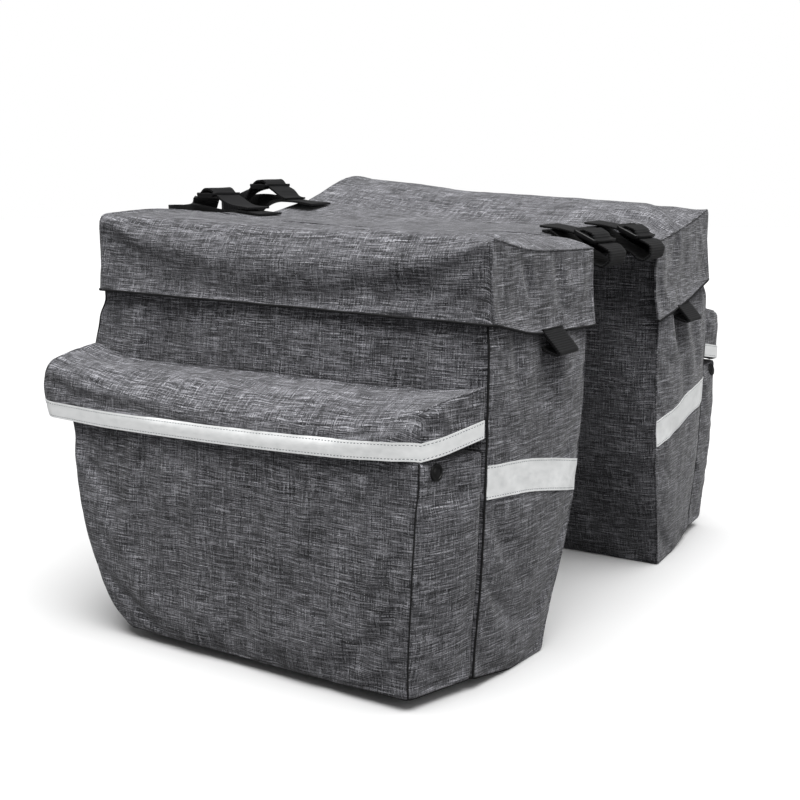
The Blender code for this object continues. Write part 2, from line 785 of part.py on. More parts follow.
def ribbon(name, stations, width, thickness, finish_name, finish):
    """Closed webbing along stations, each a (middle, across) pair of vectors."""
    builder = bmesh.new()
    rings = []
    last = len(stations) - 1
    for index, (middle, across) in enumerate(stations):
        ahead = stations[min(index + 1, last)][0] - stations[max(index - 1, 0)][0]
        side_way = across.normalized() * width / 2
        up = across.cross(ahead).normalized() * thickness / 2
        rings.append([builder.verts.new(middle + side_way + up), builder.verts.new(middle - side_way + up),
                      builder.verts.new(middle - side_way - up), builder.verts.new(middle + side_way - up)])
    skin(builder, rings, closed=True)
    builder.faces.new(rings[0])
    builder.faces.new(list(reversed(rings[-1])))
    bmesh.ops.recalc_face_normals(builder, faces=builder.faces)
    return new_object(name, builder, finish_name, finish)


def smooth_route(points, steps):
    """Read more places from a smooth curve through the given ones."""
    route = []
    last = len(points) - 1
    for index in range(last):
        before, start = points[max(index - 1, 0)], points[index]
        end, after = points[index + 1], points[min(index + 2, last)]
        for step in range(steps):
            share = step / steps
            route.append(tuple(
                hermite(start[axis], end[axis], (end[axis] - before[axis]) / 2,
                        (after[axis] - start[axis]) / 2, share)
                for axis in range(len(start))))
    route.append(points[-1])
    return route


def make_webbing_loop(side):
    """Folded webbing loop that hangs from under the lid at the bag's rear."""
    top = skirt_low(1.0) - GAP - WEBBING
    rear = body_section(top - LOOP_DROP)[1] + GAP + WEBBING / 2
    points = [(rear + LOOP_REACH * fold.out, top - LOOP_DROP * fold.down) for fold in LOOP_FOLDS]
    across = Vector((0, 1, 0))
    stations = [(Vector((x, side.sign * LOOP_OUT, z)), across) for x, z in smooth_route(points, 2)]
    ribbon("loop_" + side.name, stations, STRAP_WIDTH, WEBBING, "webbing", WEBBING_FINISH)


def make_snap(side):
    """Press stud on the pocket's rear gusset, just under the flap."""
    height = flap_low(1.0) - SNAP_BELOW_FLAP
    _, _, rear_seat, rear_face, seat, face = pocket_plan(side, height)
    corner = Vector((rear_face, side.sign * (face - POCKET_CORNER), height))
    root = Vector((rear_seat, side.sign * seat, height))
    spot = corner.lerp(root, SNAP_SHARE)
    run = (root - corner).normalized()
    normal = Vector((run.y, -run.x, 0.0)) * -side.sign
    if normal.x < 0:
        normal = -normal
    builder = bmesh.new()
    edge = [builder.verts.new((SNAP_RADIUS * step.radius, 0.0, SNAP_HEIGHT * step.lift))
            for step in SNAP_OUTLINE]
    for first, second in zip(edge, edge[1:]):
        builder.edges.new((first, second))
    bmesh.ops.spin(builder, geom=builder.verts[:] + builder.edges[:], cent=(0, 0, 0), axis=(0, 0, 1),
                   dvec=(0, 0, 0), angle=math.tau, steps=ROUND_SIDES, use_merge=True)
    bmesh.ops.remove_doubles(builder, verts=builder.verts, dist=MERGE_DISTANCE)
    bmesh.ops.recalc_face_normals(builder, faces=builder.faces)
    turn = normal.to_track_quat("Z", "Y").to_matrix().to_4x4()
    builder.transform(turn)
    bmesh.ops.translate(builder, verts=builder.verts, vec=spot + normal * GAP * 2)
    new_object("snap_" + side.name, builder, "plastic", PLASTIC_FINISH)


def tube_arc(radius, start, end, steps):
    """Places on an arc about the tube's middle, in degrees from the rear, upwards positive."""
    return [(radius * math.cos(math.radians(mix(start, end, share))),
             radius * math.sin(math.radians(mix(start, end, share)))) for share in shares(steps)]


def lie_height(x, out):
    """Height of webbing that lies flat on the bridge."""
    edges = [out + share * STRAP_WIDTH for share in (-0.5, 0.0, 0.5)]
    top = max(bridge_height(bridge_share(x), edge / LID_INNER) for edge in edges)
    return top + LIE_GAP + WEBBING / 2


def make_rear_strap(name, out):
    """Strap from the bridge round the carrier's rear tube and back through its buckle."""
    radius = CARRIER_TUBE / 2 + TUBE_CLEARANCE + WEBBING / 2
    level = CARRIER_HEIGHT
    edge_x = REAR - BRIDGE_REAR_SETBACK
    anchor_x = TUBE_X - REAR_ANCHOR_REACH
    tail_x = TUBE_X - REAR_TAIL_REACH
    anchor = [(x, lie_height(x, out)) for x in (anchor_x, mix(anchor_x, edge_x, 0.5), edge_x)]
    down = [(TUBE_X - radius * step.ahead, level + radius * step.lift) for step in REAR_STRAP_DOWN]
    loop = [(TUBE_X + x, level + z) for x, z in tube_arc(radius, REAR_WRAP_START, REAR_WRAP_END, WRAP_STEPS)]
    run_start = Vector((TUBE_X - radius * REAR_RUN_START.ahead, level + radius * REAR_RUN_START.lift))
    run = Vector((-math.cos(REAR_BUCKLE_PITCH), math.sin(REAR_BUCKLE_PITCH))) * BUCKLE_LENGTH
    straight = [tuple(run_start + run * share) for share in shares(2)]
    run_end = straight[-1]
    tail_height = lie_height(tail_x, out) + 2 * WEBBING
    bend = (mix(run_end[0], tail_x, 0.5), mix(run_end[1], tail_height, REAR_TAIL_BEND))
    back = [run_end, bend, (tail_x, tail_height)]
    route = smooth_route(anchor + down, 2) + loop + straight + smooth_route(back, 2)[1:]
    stations = [(Vector((x, out, z)), Vector((0, 1, 0))) for x, z in route]
    ribbon(name, stations, STRAP_WIDTH, WEBBING, "webbing", WEBBING_FINISH)
    middle = straight[1]
    make_buckle("buckle_" + name, Vector((middle[0], out, middle[1])), REAR_BUCKLE_PITCH)


def make_buckle(name, seat, pitch):
    """Ladder lock: two cross bars and two cheeks over the strap."""
    inner_half = STRAP_WIDTH / 2 + GAP * 2
    outer_half = inner_half + BUCKLE_WALL
    top = WEBBING / 2 + GAP * 3
    profile = ((-outer_half, -BUCKLE_CHEEK / 2), (-inner_half, -BUCKLE_CHEEK / 2), (-inner_half, top),
               (inner_half, top), (inner_half, -BUCKLE_CHEEK / 2), (outer_half, -BUCKLE_CHEEK / 2),
               (outer_half, top + BUCKLE_WALL * BUCKLE_CROWN), (outer_half - BUCKLE_WALL, top + BUCKLE_WALL),
               (BUCKLE_WALL - outer_half, top + BUCKLE_WALL), (-outer_half, top + BUCKLE_WALL * BUCKLE_CROWN))
    builder = bmesh.new()
    for start in (-BUCKLE_LENGTH / 2, BUCKLE_LENGTH / 2 - BUCKLE_BAR):
        ends = [[builder.verts.new((start + length, y, z)) for y, z in profile]
                for length in (0.0, BUCKLE_BAR)]
        skin(builder, ends, closed=True)
        builder.faces.new(ends[0])
        builder.faces.new(list(reversed(ends[1])))
    bmesh.ops.recalc_face_normals(builder, faces=builder.faces)
    item = new_object(name, builder, "plastic", PLASTIC_FINISH)
    for sign in (-1, 1):
        cheek = bmesh.new()
        bmesh.ops.create_cube(cheek, size=1.0)
        size = (BUCKLE_LENGTH - BUCKLE_BAR, BUCKLE_WALL, BUCKLE_CHEEK_HEIGHT)
        bmesh.ops.scale(cheek, verts=cheek.verts, vec=size)
        bmesh.ops.translate(cheek, verts=cheek.verts, vec=(0, sign * (inner_half + BUCKLE_WALL / 2), 0))
        guide = new_object(name + "_cheek", cheek, "plastic", PLASTIC_FINISH)
        guide.location = seat
        guide.rotation_euler = (0, pitch, 0)
        guide.hide_render = True
        guide.display_type = "WIRE"
        join = item.modifiers.new("cheek", "BOOLEAN")
        join.operation = "UNION"
        join.object = guide
    item.location = seat
    item.rotation_euler = (0, pitch, 0)


def front_route(steps, sign, leg):
    """Places and rolls along a stretch of a front strap."""
    base = lie_height(FRONT + LID_END_RADIUS, sign * FRONT_LEG_OUT)
    return [(FRONT - step.ahead * FRONT_LEG_REACH, FRONT_LEG_OUT + step.side * leg,
             base + step.lift * LID_LIFT, step.roll) for step in steps]


def make_front_strap(side):
    """Strap from the bridge round the carrier's front leg and back through its buckle."""
    leg = FRONT_LEG_DIAMETER / 2 + TUBE_CLEARANCE + WEBBING / 2
    sign = side.sign
    base = lie_height(FRONT + LID_END_RADIUS, sign * FRONT_LEG_OUT)
    flat = [(x, FRONT_LEG_OUT, lie_height(x, sign * FRONT_LEG_OUT), 0.0)
            for x in (FRONT + FRONT_ANCHOR_REACH, FRONT + FRONT_ANCHOR_REACH / 2, FRONT + LID_END_RADIUS)]
    loop = [(FRONT - FRONT_LEG_REACH - x, FRONT_LEG_OUT + y, base + LEG_LIFT * LID_LIFT, 1.0)
            for x, y in tube_arc(leg, FRONT_WRAP_HALF, -FRONT_WRAP_HALF, WRAP_STEPS)]
    route = smooth_route(flat + front_route(FRONT_STRAP_OUT, sign, leg), 2) + loop
    route += smooth_route(front_route(FRONT_STRAP_BACK, sign, leg), 2)
    stations = []
    for x, out, z, roll in route:
        angle = roll * math.pi / 2
        stations.append((Vector((x, sign * out, z)), Vector((0, sign * math.cos(angle), math.sin(angle)))))
    name = "front_strap_" + side.name
    ribbon(name, stations, STRAP_WIDTH, WEBBING, "webbing", WEBBING_FINISH)
    ahead = FRONT - BUCKLE_AHEAD * FRONT_LEG_REACH
    seat = Vector((ahead, sign * FRONT_LEG_OUT, base + BUCKLE_LIFT * LID_LIFT))
    make_buckle("buckle_" + name, seat, 0.0)


def centre_on_origin():
    """Shift everything along X so that the whole stands over the origin."""
    bpy.context.view_layer.update()
    graph = bpy.context.evaluated_depsgraph_get()
    shown = [item for item in bpy.data.objects if not item.hide_render]
    reach = []
    for item in shown:
        solid = item.evaluated_get(graph)
        reach += [(item.matrix_world @ vertex.co).x for vertex in solid.data.vertices]
    shift = (min(reach) + max(reach)) / 2
    for item in bpy.data.objects:
        item.location.x -= shift


def main():
    """Build the whole double pannier."""
    clear_scene()
    for side in SIDES:
        make_body(side)
        make_pocket(side)
        make_flap(side)
        make_flap_tape(side)
        make_side_tape(side)
        make_lid(side)
        make_webbing_loop(side)
        make_snap(side)
        make_front_strap(side)
    make_bridge()
    make_rear_strap("rear_strap_near", -REAR_STRAP_NEAR_OUT)
    make_rear_strap("rear_strap_far", REAR_STRAP_FAR_OUT)
    centre_on_origin()


main()
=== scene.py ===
"""Looks of a double bicycle pannier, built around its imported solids.

Two soft bags of melange cloth hang either side of a carrier and are joined by a cloth
bridge. Each has a box lid, an outer pocket with a flap, reflective tapes, a webbing loop
and carrier straps with buckles. Metres, +X to the rear, -Y is the near bag's side.
"""
import logging
import math
from dataclasses import dataclass, field
from enum import Enum
from typing import Callable, Mapping, Optional, Sequence

import bpy
import numpy as np
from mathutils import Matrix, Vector, noise
from mathutils.bvhtree import BVHTree


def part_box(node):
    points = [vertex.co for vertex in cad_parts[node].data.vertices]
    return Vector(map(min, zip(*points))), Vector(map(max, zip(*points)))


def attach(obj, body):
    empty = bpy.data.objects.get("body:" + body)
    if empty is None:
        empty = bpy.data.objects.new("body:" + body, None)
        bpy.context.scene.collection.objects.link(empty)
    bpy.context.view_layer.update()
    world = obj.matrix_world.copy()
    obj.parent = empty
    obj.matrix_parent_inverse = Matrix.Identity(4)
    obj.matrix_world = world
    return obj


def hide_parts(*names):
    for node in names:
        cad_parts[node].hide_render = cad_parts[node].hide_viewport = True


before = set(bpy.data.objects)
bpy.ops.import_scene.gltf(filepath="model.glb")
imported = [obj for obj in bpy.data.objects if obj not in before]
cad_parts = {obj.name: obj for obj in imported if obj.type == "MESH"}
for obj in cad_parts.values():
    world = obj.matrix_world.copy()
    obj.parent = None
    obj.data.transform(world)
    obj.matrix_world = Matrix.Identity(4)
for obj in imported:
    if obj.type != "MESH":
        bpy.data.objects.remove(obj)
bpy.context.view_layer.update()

LOG = logging.getLogger("pannier")
MM = 0.001
WEAVE = "weave"
EDGE = "seam_distance"
HEM = "hem_distance"
ROOT = "root"
TOUCH = 1e-5

Piece = bpy.types.Object
Tree = bpy.types.NodeTree
Socket = bpy.types.NodeSocket
Test = Callable[[np.ndarray], np.ndarray]

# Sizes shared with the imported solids
LID_LENGTH = 0.348
LID_INNER = 0.064
LID_WIDTH = 0.144
LID_LIFT = 0.030
CARRIER_HEIGHT = 0.284
TUCK = 0.0023
FRONT = -LID_LENGTH / 2
REAR = LID_LENGTH / 2
TUBE_X = REAR + 0.006
STRAP_WIDTH = 0.030
WEBBING = 0.0018
OFFSET_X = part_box("lid_near")[1].x - REAR


class Side(Enum):
    """Which of the two bags a piece belongs to, with its direction along Y."""

    NEAR = -1
    FAR = 1

    @property
    def tag(self) -> str:
        """Ending of a piece's name on this side."""
        return self.name.lower()


class Panel(Enum):
    """The six sides of a cut block, as (axis, end)."""

    FRONT = (0, 0)
    REAR = (0, 1)
    INNER = (1, 0)
    OUTER = (1, 1)
    BOTTOM = (2, 0)
    TOP = (2, 1)


@dataclass(frozen=True)
class Curves:
    """Shares in named columns, read along one key as smooth curves that never overshoot."""

    keys: tuple[float, ...]
    columns: Mapping[str, tuple[float, ...]]

    def read(self, name: str, where: np.ndarray) -> np.ndarray:
        """Read a column.

        Args:
            name: The column.
            where: Places along the key.

        Returns:
            The column's value at each place.
        """
        keys = np.asarray(self.keys)
        values = np.asarray(self.columns[name])
        where = np.clip(where, keys[0], keys[-1])
        index = np.clip(np.searchsorted(keys, where, side="right") - 1, 0, len(keys) - 2)
        gaps = np.diff(keys)
        rises = np.diff(values) / gaps
        slopes = np.empty(len(keys))
        slopes[0], slopes[-1] = rises[0], rises[-1]
        both = rises[:-1] * rises[1:]
        total = np.where(both > 0, rises[:-1] + rises[1:], 1.0)
        slopes[1:-1] = np.where(both > 0, 2 * both / total, 0.0)
        share = (where - keys[index]) / gaps[index]
        square, cube = share ** 2, share ** 3
        return ((2 * cube - 3 * square + 1) * values[index]
                + (cube - 2 * square + share) * slopes[index] * gaps[index]
                + (3 * square - 2 * cube) * values[index + 1]
                + (cube - square) * slopes[index + 1] * gaps[index])


# Heights of the lids above the carrier along their length, as shares of LID_LIFT
LID_CURVES = Curves(
    (0.00, 0.15, 0.40, 0.60, 0.80, 0.93, 1.00),
    {
        "mid": (0.84, 0.75, 0.60, 0.58, 0.58, 0.48, 0.30),
        "near_inner": (0.90, 0.74, 0.62, 0.58, 0.58, 0.50, 0.25),
        "near_crest": (1.08, 0.96, 0.80, 0.77, 0.79, 0.70, 0.33),
        "near_outer": (0.98, 1.02, 0.92, 0.88, 0.84, 0.80, 0.72),
        "far_inner": (1.18, 1.00, 0.72, 0.58, 0.58, 0.46, 0.20),
        "far_crest": (1.95, 1.82, 1.50, 1.38, 1.26, 1.08, 0.60),
        "far_outer": (1.60, 1.52, 1.34, 1.26, 1.18, 1.10, 1.02),
        "edge": (0.30, 0.80, 1.00, 1.00, 0.90, 0.60, 0.25),
    },
)

# Walls of the main bag up its height, as shares of its slants and belly
BODY_CURVES = Curves(
    (0.000, 0.020, 0.115, 0.270, 0.410, 0.560, 0.700, 0.845, 0.885, 1.000),
    {
        "front": (1.00, 0.97, 0.82, 0.48, 0.20, -0.12, -0.27, -0.05, 0.00, 0.00),
        "rear": (1.00, 0.98, 0.80, 0.45, 0.25, 0.12, 0.04, 0.00, 0.00, 0.00),
        "inner": (1.00, 0.98, 0.84, 0.52, 0.31, 0.20, 0.13, 0.13, 0.10, 0.00),
        "outer": (0.55, 0.70, 0.90, 1.10, 1.10, 1.00, 0.80, 0.35, 0.00, 0.00),
        "under": (0, 0, 0, 0, 0, 0, 0, 0, 1, 1),
    },
)

# Front edge and belly of the pocket up its height
POCKET_CURVES = Curves(
    (0.000, 0.035, 0.100, 0.230, 0.500, 0.780, 0.910, 1.000),
    {
        "front": (1.08, 0.98, 0.77, 0.57, 0.29, 0.13, 0.08, 0.03),
        "belly": (0.10, 0.30, 0.50, 0.80, 1.00, 0.60, 0.00, 0.00),
    },
)

# Sag of the flap's inner line and outer edge along it, its puff, its edge's roundness and its hem's sag
FLAP_CURVES = Curves(
    (0.00, 0.07, 0.22, 0.50, 0.80, 0.93, 1.00),
    {
        "inner": (-0.06, 0.15, 0.25, 0.22, 0.22, 0.16, 0.03),
        "outer": (0.25, 0.34, 0.70, 0.90, 0.84, 0.52, 0.30),
        "puff": (0.05, 0.12, 0.20, 0.22, 0.20, 0.12, 0.00),
        "edge": (0.90, 1.00, 1.00, 1.00, 1.30, 2.30, 2.60),
        "hem": (0.0019, 0.0030, 0.0050, 0.0056, 0.0042, 0.0018, 0.0009),
    },
)


# Mesh helpers


def mix(start: np.ndarray, end: np.ndarray, share: np.ndarray) -> np.ndarray:
    """Straight blend of two values or arrays."""
    return start + (end - start) * share


def select_only(piece: Piece) -> None:
    """Leave object mode's selection holding this piece alone."""
    if bpy.context.object and bpy.context.object.mode != "OBJECT":
        bpy.ops.object.mode_set(mode="OBJECT")
    bpy.ops.object.select_all(action="DESELECT")
    piece.select_set(True)
    bpy.context.view_layer.objects.active = piece


def in_edit_mode(piece: Piece, kind: str = "EDGE") -> None:
    """Open a piece in edit mode with nothing selected.

    Args:
        piece: The piece.
        kind: What a selection picks: VERT, EDGE or FACE.
    """
    select_only(piece)
    bpy.ops.object.mode_set(mode="EDIT")
    bpy.ops.mesh.select_mode(type=kind)
    bpy.ops.mesh.select_all(action="DESELECT")


def settle_place(piece: Piece) -> None:
    """Move a piece's place, turn and scale into its mesh."""
    select_only(piece)
    bpy.ops.object.transform_apply(location=True, rotation=True, scale=True)


def points_of(piece: Piece) -> np.ndarray:
    """Return the piece's vertex places, one row each."""
    flat = np.empty(len(piece.data.vertices) * 3)
    piece.data.vertices.foreach_get("co", flat)
    return flat.reshape(-1, 3)


def move_points(piece: Piece, places: np.ndarray) -> None:
    """Put a piece's vertices at new places."""
    piece.data.vertices.foreach_set("co", places.ravel())
    piece.data.update()


def normals_of(piece: Piece) -> np.ndarray:
    """Return the piece's vertex normals, one row each."""
    flat = np.empty(len(piece.data.vertices) * 3, np.float32)
    piece.data.vertex_normals.foreach_get("vector", flat)
    return flat.reshape(-1, 3).astype(float)


def note_on(piece: Piece, name: str, values: np.ndarray) -> None:
    """Keep one number per vertex on the piece under a name."""
    note = piece.data.attributes.get(name) or piece.data.attributes.new(name, "FLOAT", "POINT")
    note.data.foreach_set("value", values.astype(np.float32))


def read_note(piece: Piece, name: str) -> np.ndarray:
    """Return the numbers that note_on kept."""
    values = np.empty(len(piece.data.vertices), np.float32)
    piece.data.attributes[name].data.foreach_get("value", values)
    return values.astype(float)


def apply_modifier(piece: Piece, kind: str, **settings: object) -> None:
    """Add a modifier with its settings and apply it.

    Args:
        piece: The piece that gets it.
        kind: The modifier's type.
        settings: Its settings by name.
    """
    select_only(piece)
    modifier = piece.modifiers.new(kind.lower(), kind)
    for name, value in settings.items():
        setattr(modifier, name, value)
    bpy.ops.object.modifier_apply(modifier=modifier.name)


def round_edges(piece: Piece, width: float, segments: int, degrees: float) -> None:
    """Bevel the edges that are sharper than an angle."""
    apply_modifier(piece, "BEVEL", width=width, segments=segments, limit_method="ANGLE",
                   angle_limit=math.radians(degrees))


def shade(piece: Piece, degrees: float = 50.0) -> None:
    """Shade a piece smooth, with creases sharper than the angle kept."""
    select_only(piece)
    bpy.ops.object.shade_smooth_by_angle(angle=math.radians(degrees))


def copied(piece: Piece, name: str) -> Piece:
    """Copy a piece with a mesh of its own."""
    twin = piece.copy()
    twin.data = piece.data.copy()
    twin.name = name
    bpy.context.scene.collection.objects.link(twin)
    return twin


def tree_of(piece: Piece) -> BVHTree:
    """Return a search tree of the piece's faces."""
    places = [tuple(place) for place in points_of(piece)]
    faces = [tuple(face.vertices) for face in piece.data.polygons]
    return BVHTree.FromPolygons(places, faces)


def stops(length: float, cell: float, edge: float = 0.002) -> np.ndarray:
    """Cut places along a side, closer together at its two ends.

    Args:
        length: The side's length.
        cell: Spacing in the middle.
        edge: Width of the first and last cell.

    Returns:
        The places, from 0 to length.
    """
    inner = np.linspace(2.5 * edge, length - 2.5 * edge, max(3, round(length / cell)))
    return np.concatenate(([0.0, edge], inner, [length - edge, length]))


def cut_block(name: str, cuts: Sequence[np.ndarray], open_panels: Sequence[Panel] = ()) -> tuple:
    """Add a block, cut it into a grid along each axis and open some of its sides.

    Args:
        name: The piece's name.
        cuts: Cut places along X, Y and Z.
        open_panels: The sides that are left out.

    Returns:
        The piece and its vertices' places in the uncut block, in metres.
    """
    bpy.ops.mesh.primitive_cube_add(size=1.0, location=(0.5, 0.5, 0.5))
    piece = bpy.context.object
    piece.name = name
    settle_place(piece)
    for axis, places in enumerate(cuts):
        if len(places) < 3:
            continue
        in_edit_mode(piece)
        bpy.ops.object.mode_set(mode="OBJECT")
        for edge in piece.data.edges:
            first, second = (piece.data.vertices[index].co for index in edge.vertices)
            edge.select = abs(first[axis] - second[axis]) > 0.5
        bpy.ops.object.mode_set(mode="EDIT")
        bpy.ops.mesh.subdivide(number_cuts=len(places) - 2)
        bpy.ops.object.mode_set(mode="OBJECT")
    if open_panels:
        in_edit_mode(piece, "FACE")
        bpy.ops.object.mode_set(mode="OBJECT")
        for face in piece.data.polygons:
            face.select = panel_at(face.center) in open_panels
        bpy.ops.object.mode_set(mode="EDIT")
        bpy.ops.mesh.delete(type="FACE")
        bpy.ops.object.mode_set(mode="OBJECT")
    unit = points_of(piece)
    columns = [np.asarray(places)[np.rint(unit[:, axis] * (len(places) - 1)).astype(int)]
               for axis, places in enumerate(cuts)]
    return piece, np.stack(columns, axis=1)


def panel_at(place: Sequence[float]) -> Optional[Panel]:
    """Name the side of the unit block that a place lies on."""
    for panel in Panel:
        axis, end = panel.value
        if abs(place[axis] - end) < 1e-5:
            return panel
    return None


def rounded(places: np.ndarray, size: np.ndarray, radii: Sequence[np.ndarray],
            hemmed: bool = False) -> np.ndarray:
    """Round a block's edges over.

    Args:
        places: Places on the block, in metres from its low corner.
        size: The block's three lengths, a row or one row for each place.
        radii: How far in each axis the rounding reaches.
        hemmed: Whether the sides run straight down to an open hem.

    Returns:
        The places on the rounded block.
    """
    reach = np.stack([np.broadcast_to(r, len(places)) for r in radii], axis=1)
    low = reach.copy()
    if hemmed:
        low[:, 2] = 0.0
    inside = np.clip(places, low, np.maximum(size - reach, low))
    away = (places - inside) / np.maximum(reach, 1e-9)
    length = np.linalg.norm(away, axis=1, keepdims=True)
    return inside + reach * away / np.maximum(length, 1.0)


def weave_map(piece: Piece, block: np.ndarray, size: Sequence[float], rolled: bool) -> None:
    """Give a piece its weave map, in metres along and across the cloth of each panel.

    Args:
        piece: The shaped piece, before any simulation.
        block: Its places in the uncut block.
        size: The uncut block's lengths.
        rolled: Whether the top's cloth runs on down the outer side.
    """
    unit = block / np.asarray(size)
    shaped = points_of(piece)
    out = np.abs(shaped[:, 1])
    layer = piece.data.uv_layers.get(WEAVE) or piece.data.uv_layers.new(name=WEAVE)
    flat = np.zeros((len(piece.data.loops), 2))
    for face in piece.data.polygons:
        corners = np.array(face.vertices)
        axis = panel_at(unit[corners].mean(axis=0))
        axis = axis.value[0] if axis else 2
        for loop, vertex in zip(face.loop_indices, face.vertices):
            x, z = shaped[vertex, 0], shaped[vertex, 2]
            if axis == 0:
                flat[loop] = (out[vertex] + 1.0, z)
            elif axis == 1 and rolled:
                flat[loop] = (x, out[vertex] + CARRIER_HEIGHT - z)
            elif axis == 1:
                flat[loop] = (x, z)
            else:
                flat[loop] = (x, out[vertex])
    layer.data.foreach_set("uv", flat.ravel())


def seam_distance(block: np.ndarray, size: Sequence[float], seams: Sequence[tuple]) -> np.ndarray:
    """Distance of each place on a block from its nearest sewn edge.

    Args:
        block: Places on the uncut block.
        size: Its lengths.
        seams: Pairs of panels that meet in a seam.

    Returns:
        The distances in metres.
    """
    nearest = np.full(len(block), 1.0)
    for pair in seams:
        gaps = [np.abs(block[:, panel.value[0]] - panel.value[1] * size[panel.value[0]]) for panel in pair]
        nearest = np.minimum(nearest, np.hypot(*gaps))
    return nearest


def flip(piece: Piece) -> None:
    """Turn a mirrored piece's faces to point outwards again."""
    in_edit_mode(piece, "FACE")
    bpy.ops.mesh.select_all(action="SELECT")
    bpy.ops.mesh.flip_normals()
    bpy.ops.object.mode_set(mode="OBJECT")


def sit_on_floor(piece: Piece) -> None:
    """Flatten what the filling pushed below the floor."""
    places = points_of(piece)
    places[:, 2] = np.maximum(places[:, 2], 0.0)
    move_points(piece, places)


@dataclass(frozen=True)
class Waves:
    """Soft, irregular waves in cloth: height, length on each axis, place in the noise and where they rest."""

    height: float
    size: tuple[float, float, float]
    seed: float
    fade: float
    calm: float = 0.0

    def raise_on(self, piece: Piece, side: Side) -> None:
        """Move a cloth piece's surface in and out, differently on each side.

        Args:
            piece: The piece, with its distances from a seam.
            side: The bag it is on.
        """
        places = points_of(piece)
        normals = normals_of(piece)
        scale = 1.0 / np.asarray(self.size)
        seed = self.seed + side.value
        shift = Vector((seed, seed * 0.7, 0.0))
        wave = np.array([noise.noise(Vector(place * scale) + shift) for place in places])
        wave *= np.clip(read_note(piece, EDGE) / self.fade, 0.0, 1.0)
        if self.calm:
            wave *= np.clip(read_note(piece, HEM) / self.calm - 1.0, 0.0, 1.0)
        move_points(piece, places + normals * (wave * self.height)[:, None])


@dataclass(frozen=True)
class Crease:
    """A fold line in cloth, between two places (x, out, z), with its width and depth."""

    start: tuple[float, float, float]
    end: tuple[float, float, float]
    width: float
    depth: float

    def press(self, piece: Piece, side: Side) -> None:
        """Press the fold into a piece, with a soft ridge on both sides of it.

        Args:
            piece: The piece.
            side: The bag it is on.
        """
        turn = np.array([1.0, side.value, 1.0])
        shift = np.array([OFFSET_X, 0.0, 0.0])
        start = np.array(self.start) * turn + shift
        run = np.array(self.end) * turn + shift - start
        places = points_of(piece)
        share = np.clip(((places - start) @ run) / (run @ run), 0.0, 1.0)
        gap = np.linalg.norm(places - start - share[:, None] * run, axis=1) / self.width
        taper = np.clip(4.0 * share * (1.0 - share) + 0.25, 0.0, 1.0)
        profile = -(1.0 - 0.9 * gap ** 2) * np.exp(-gap ** 2) * taper
        move_points(piece, places + normals_of(piece) * (profile * self.depth)[:, None])


@dataclass(frozen=True)
class Filling:
    """How a cloth piece is stuffed: pressure, slack in its cloth and how far a point may move."""

    pressure: float = 1.5
    slack: float = 0.02
    reach: float = 0.006
    stiffness: float = 8.0
    frames: int = 16

    def settle(self, piece: Piece, held: np.ndarray) -> None:
        """Let the cloth find its shape between the points that hold it.

        Args:
            piece: The piece.
            held: How firmly each vertex is held, from 0 to 1.
        """
        before = points_of(piece)
        group = piece.vertex_groups.new(name="held")
        for level in np.unique(np.round(held, 2)):
            chosen = np.nonzero(np.round(held, 2) == level)[0].tolist()
            group.add(chosen, float(level), "REPLACE")
        select_only(piece)
        cloth = piece.modifiers.new("cloth", "CLOTH")
        cloth.settings.quality = 4
        cloth.settings.mass = 0.35
        cloth.settings.tension_stiffness = self.stiffness
        cloth.settings.compression_stiffness = self.stiffness
        cloth.settings.shear_stiffness = 2.0
        cloth.settings.bending_stiffness = 0.4
        cloth.settings.vertex_group_mass = group.name
        cloth.settings.pin_stiffness = 1.0
        cloth.settings.shrink_min = -self.slack
        cloth.settings.use_pressure = True
        cloth.settings.uniform_pressure_force = self.pressure
        cloth.settings.effector_weights.gravity = 0.15
        cloth.point_cache.frame_end = self.frames
        scene = bpy.context.scene
        for step in range(1, self.frames + 1):
            scene.frame_set(step)
        bpy.ops.object.modifier_apply(modifier=cloth.name)
        scene.frame_set(1)
        piece.vertex_groups.clear()
        moved = points_of(piece) - before
        length = np.linalg.norm(moved, axis=1, keepdims=True)
        capped = self.reach * np.tanh(length / self.reach)
        move_points(piece, before + moved * capped / np.maximum(length, 1e-9))


# Materials


def linear(code: str, alpha: float = 1.0) -> tuple[float, float, float, float]:
    """Turn an sRGB hex colour to linear values."""
    channels = [int(code[place:place + 2], 16) / 255 for place in (1, 3, 5)]
    turned = [c / 12.92 if c <= 0.04045 else ((c + 0.055) / 1.055) ** 2.4 for c in channels]
    return (*turned, alpha)


def add_node(tree: Tree, kind: str, links: Mapping, **settings: object) -> bpy.types.Node:
    """Add a node with its settings and links.

    Args:
        tree: The material's tree.
        kind: The node's type, after ShaderNode.
        links: Values or sockets for its inputs, by name or place.
        settings: Its own settings by name.

    Returns:
        The node.
    """
    node = tree.nodes.new("ShaderNode" + kind)
    for name, value in settings.items():
        setattr(node, name, value)
    for name, value in links.items():
        if isinstance(value, Socket):
            tree.links.new(value, node.inputs[name])
        else:
            node.inputs[name].default_value = value
    return node


def add_ramp(tree: Tree, factor: Socket, steps: Sequence[tuple]) -> Socket:
    """Add a colour ramp through (place, hex colour) steps and return its colour."""
    node = add_node(tree, "ValToRGB", {"Fac": factor})
    ramp = node.color_ramp
    while len(ramp.elements) < len(steps):
        ramp.elements.new(0.5)
    for element, (place, code) in zip(ramp.elements, steps):
        element.position = place
        element.color = linear(code)
    return node.outputs["Color"]


def add_math(tree: Tree, action: str, first: object, second: object = 0.0) -> Socket:
    """Add a sum of two values or sockets and return its result."""
    return add_node(tree, "Math", {0: first, 1: second}, operation=action).outputs[0]


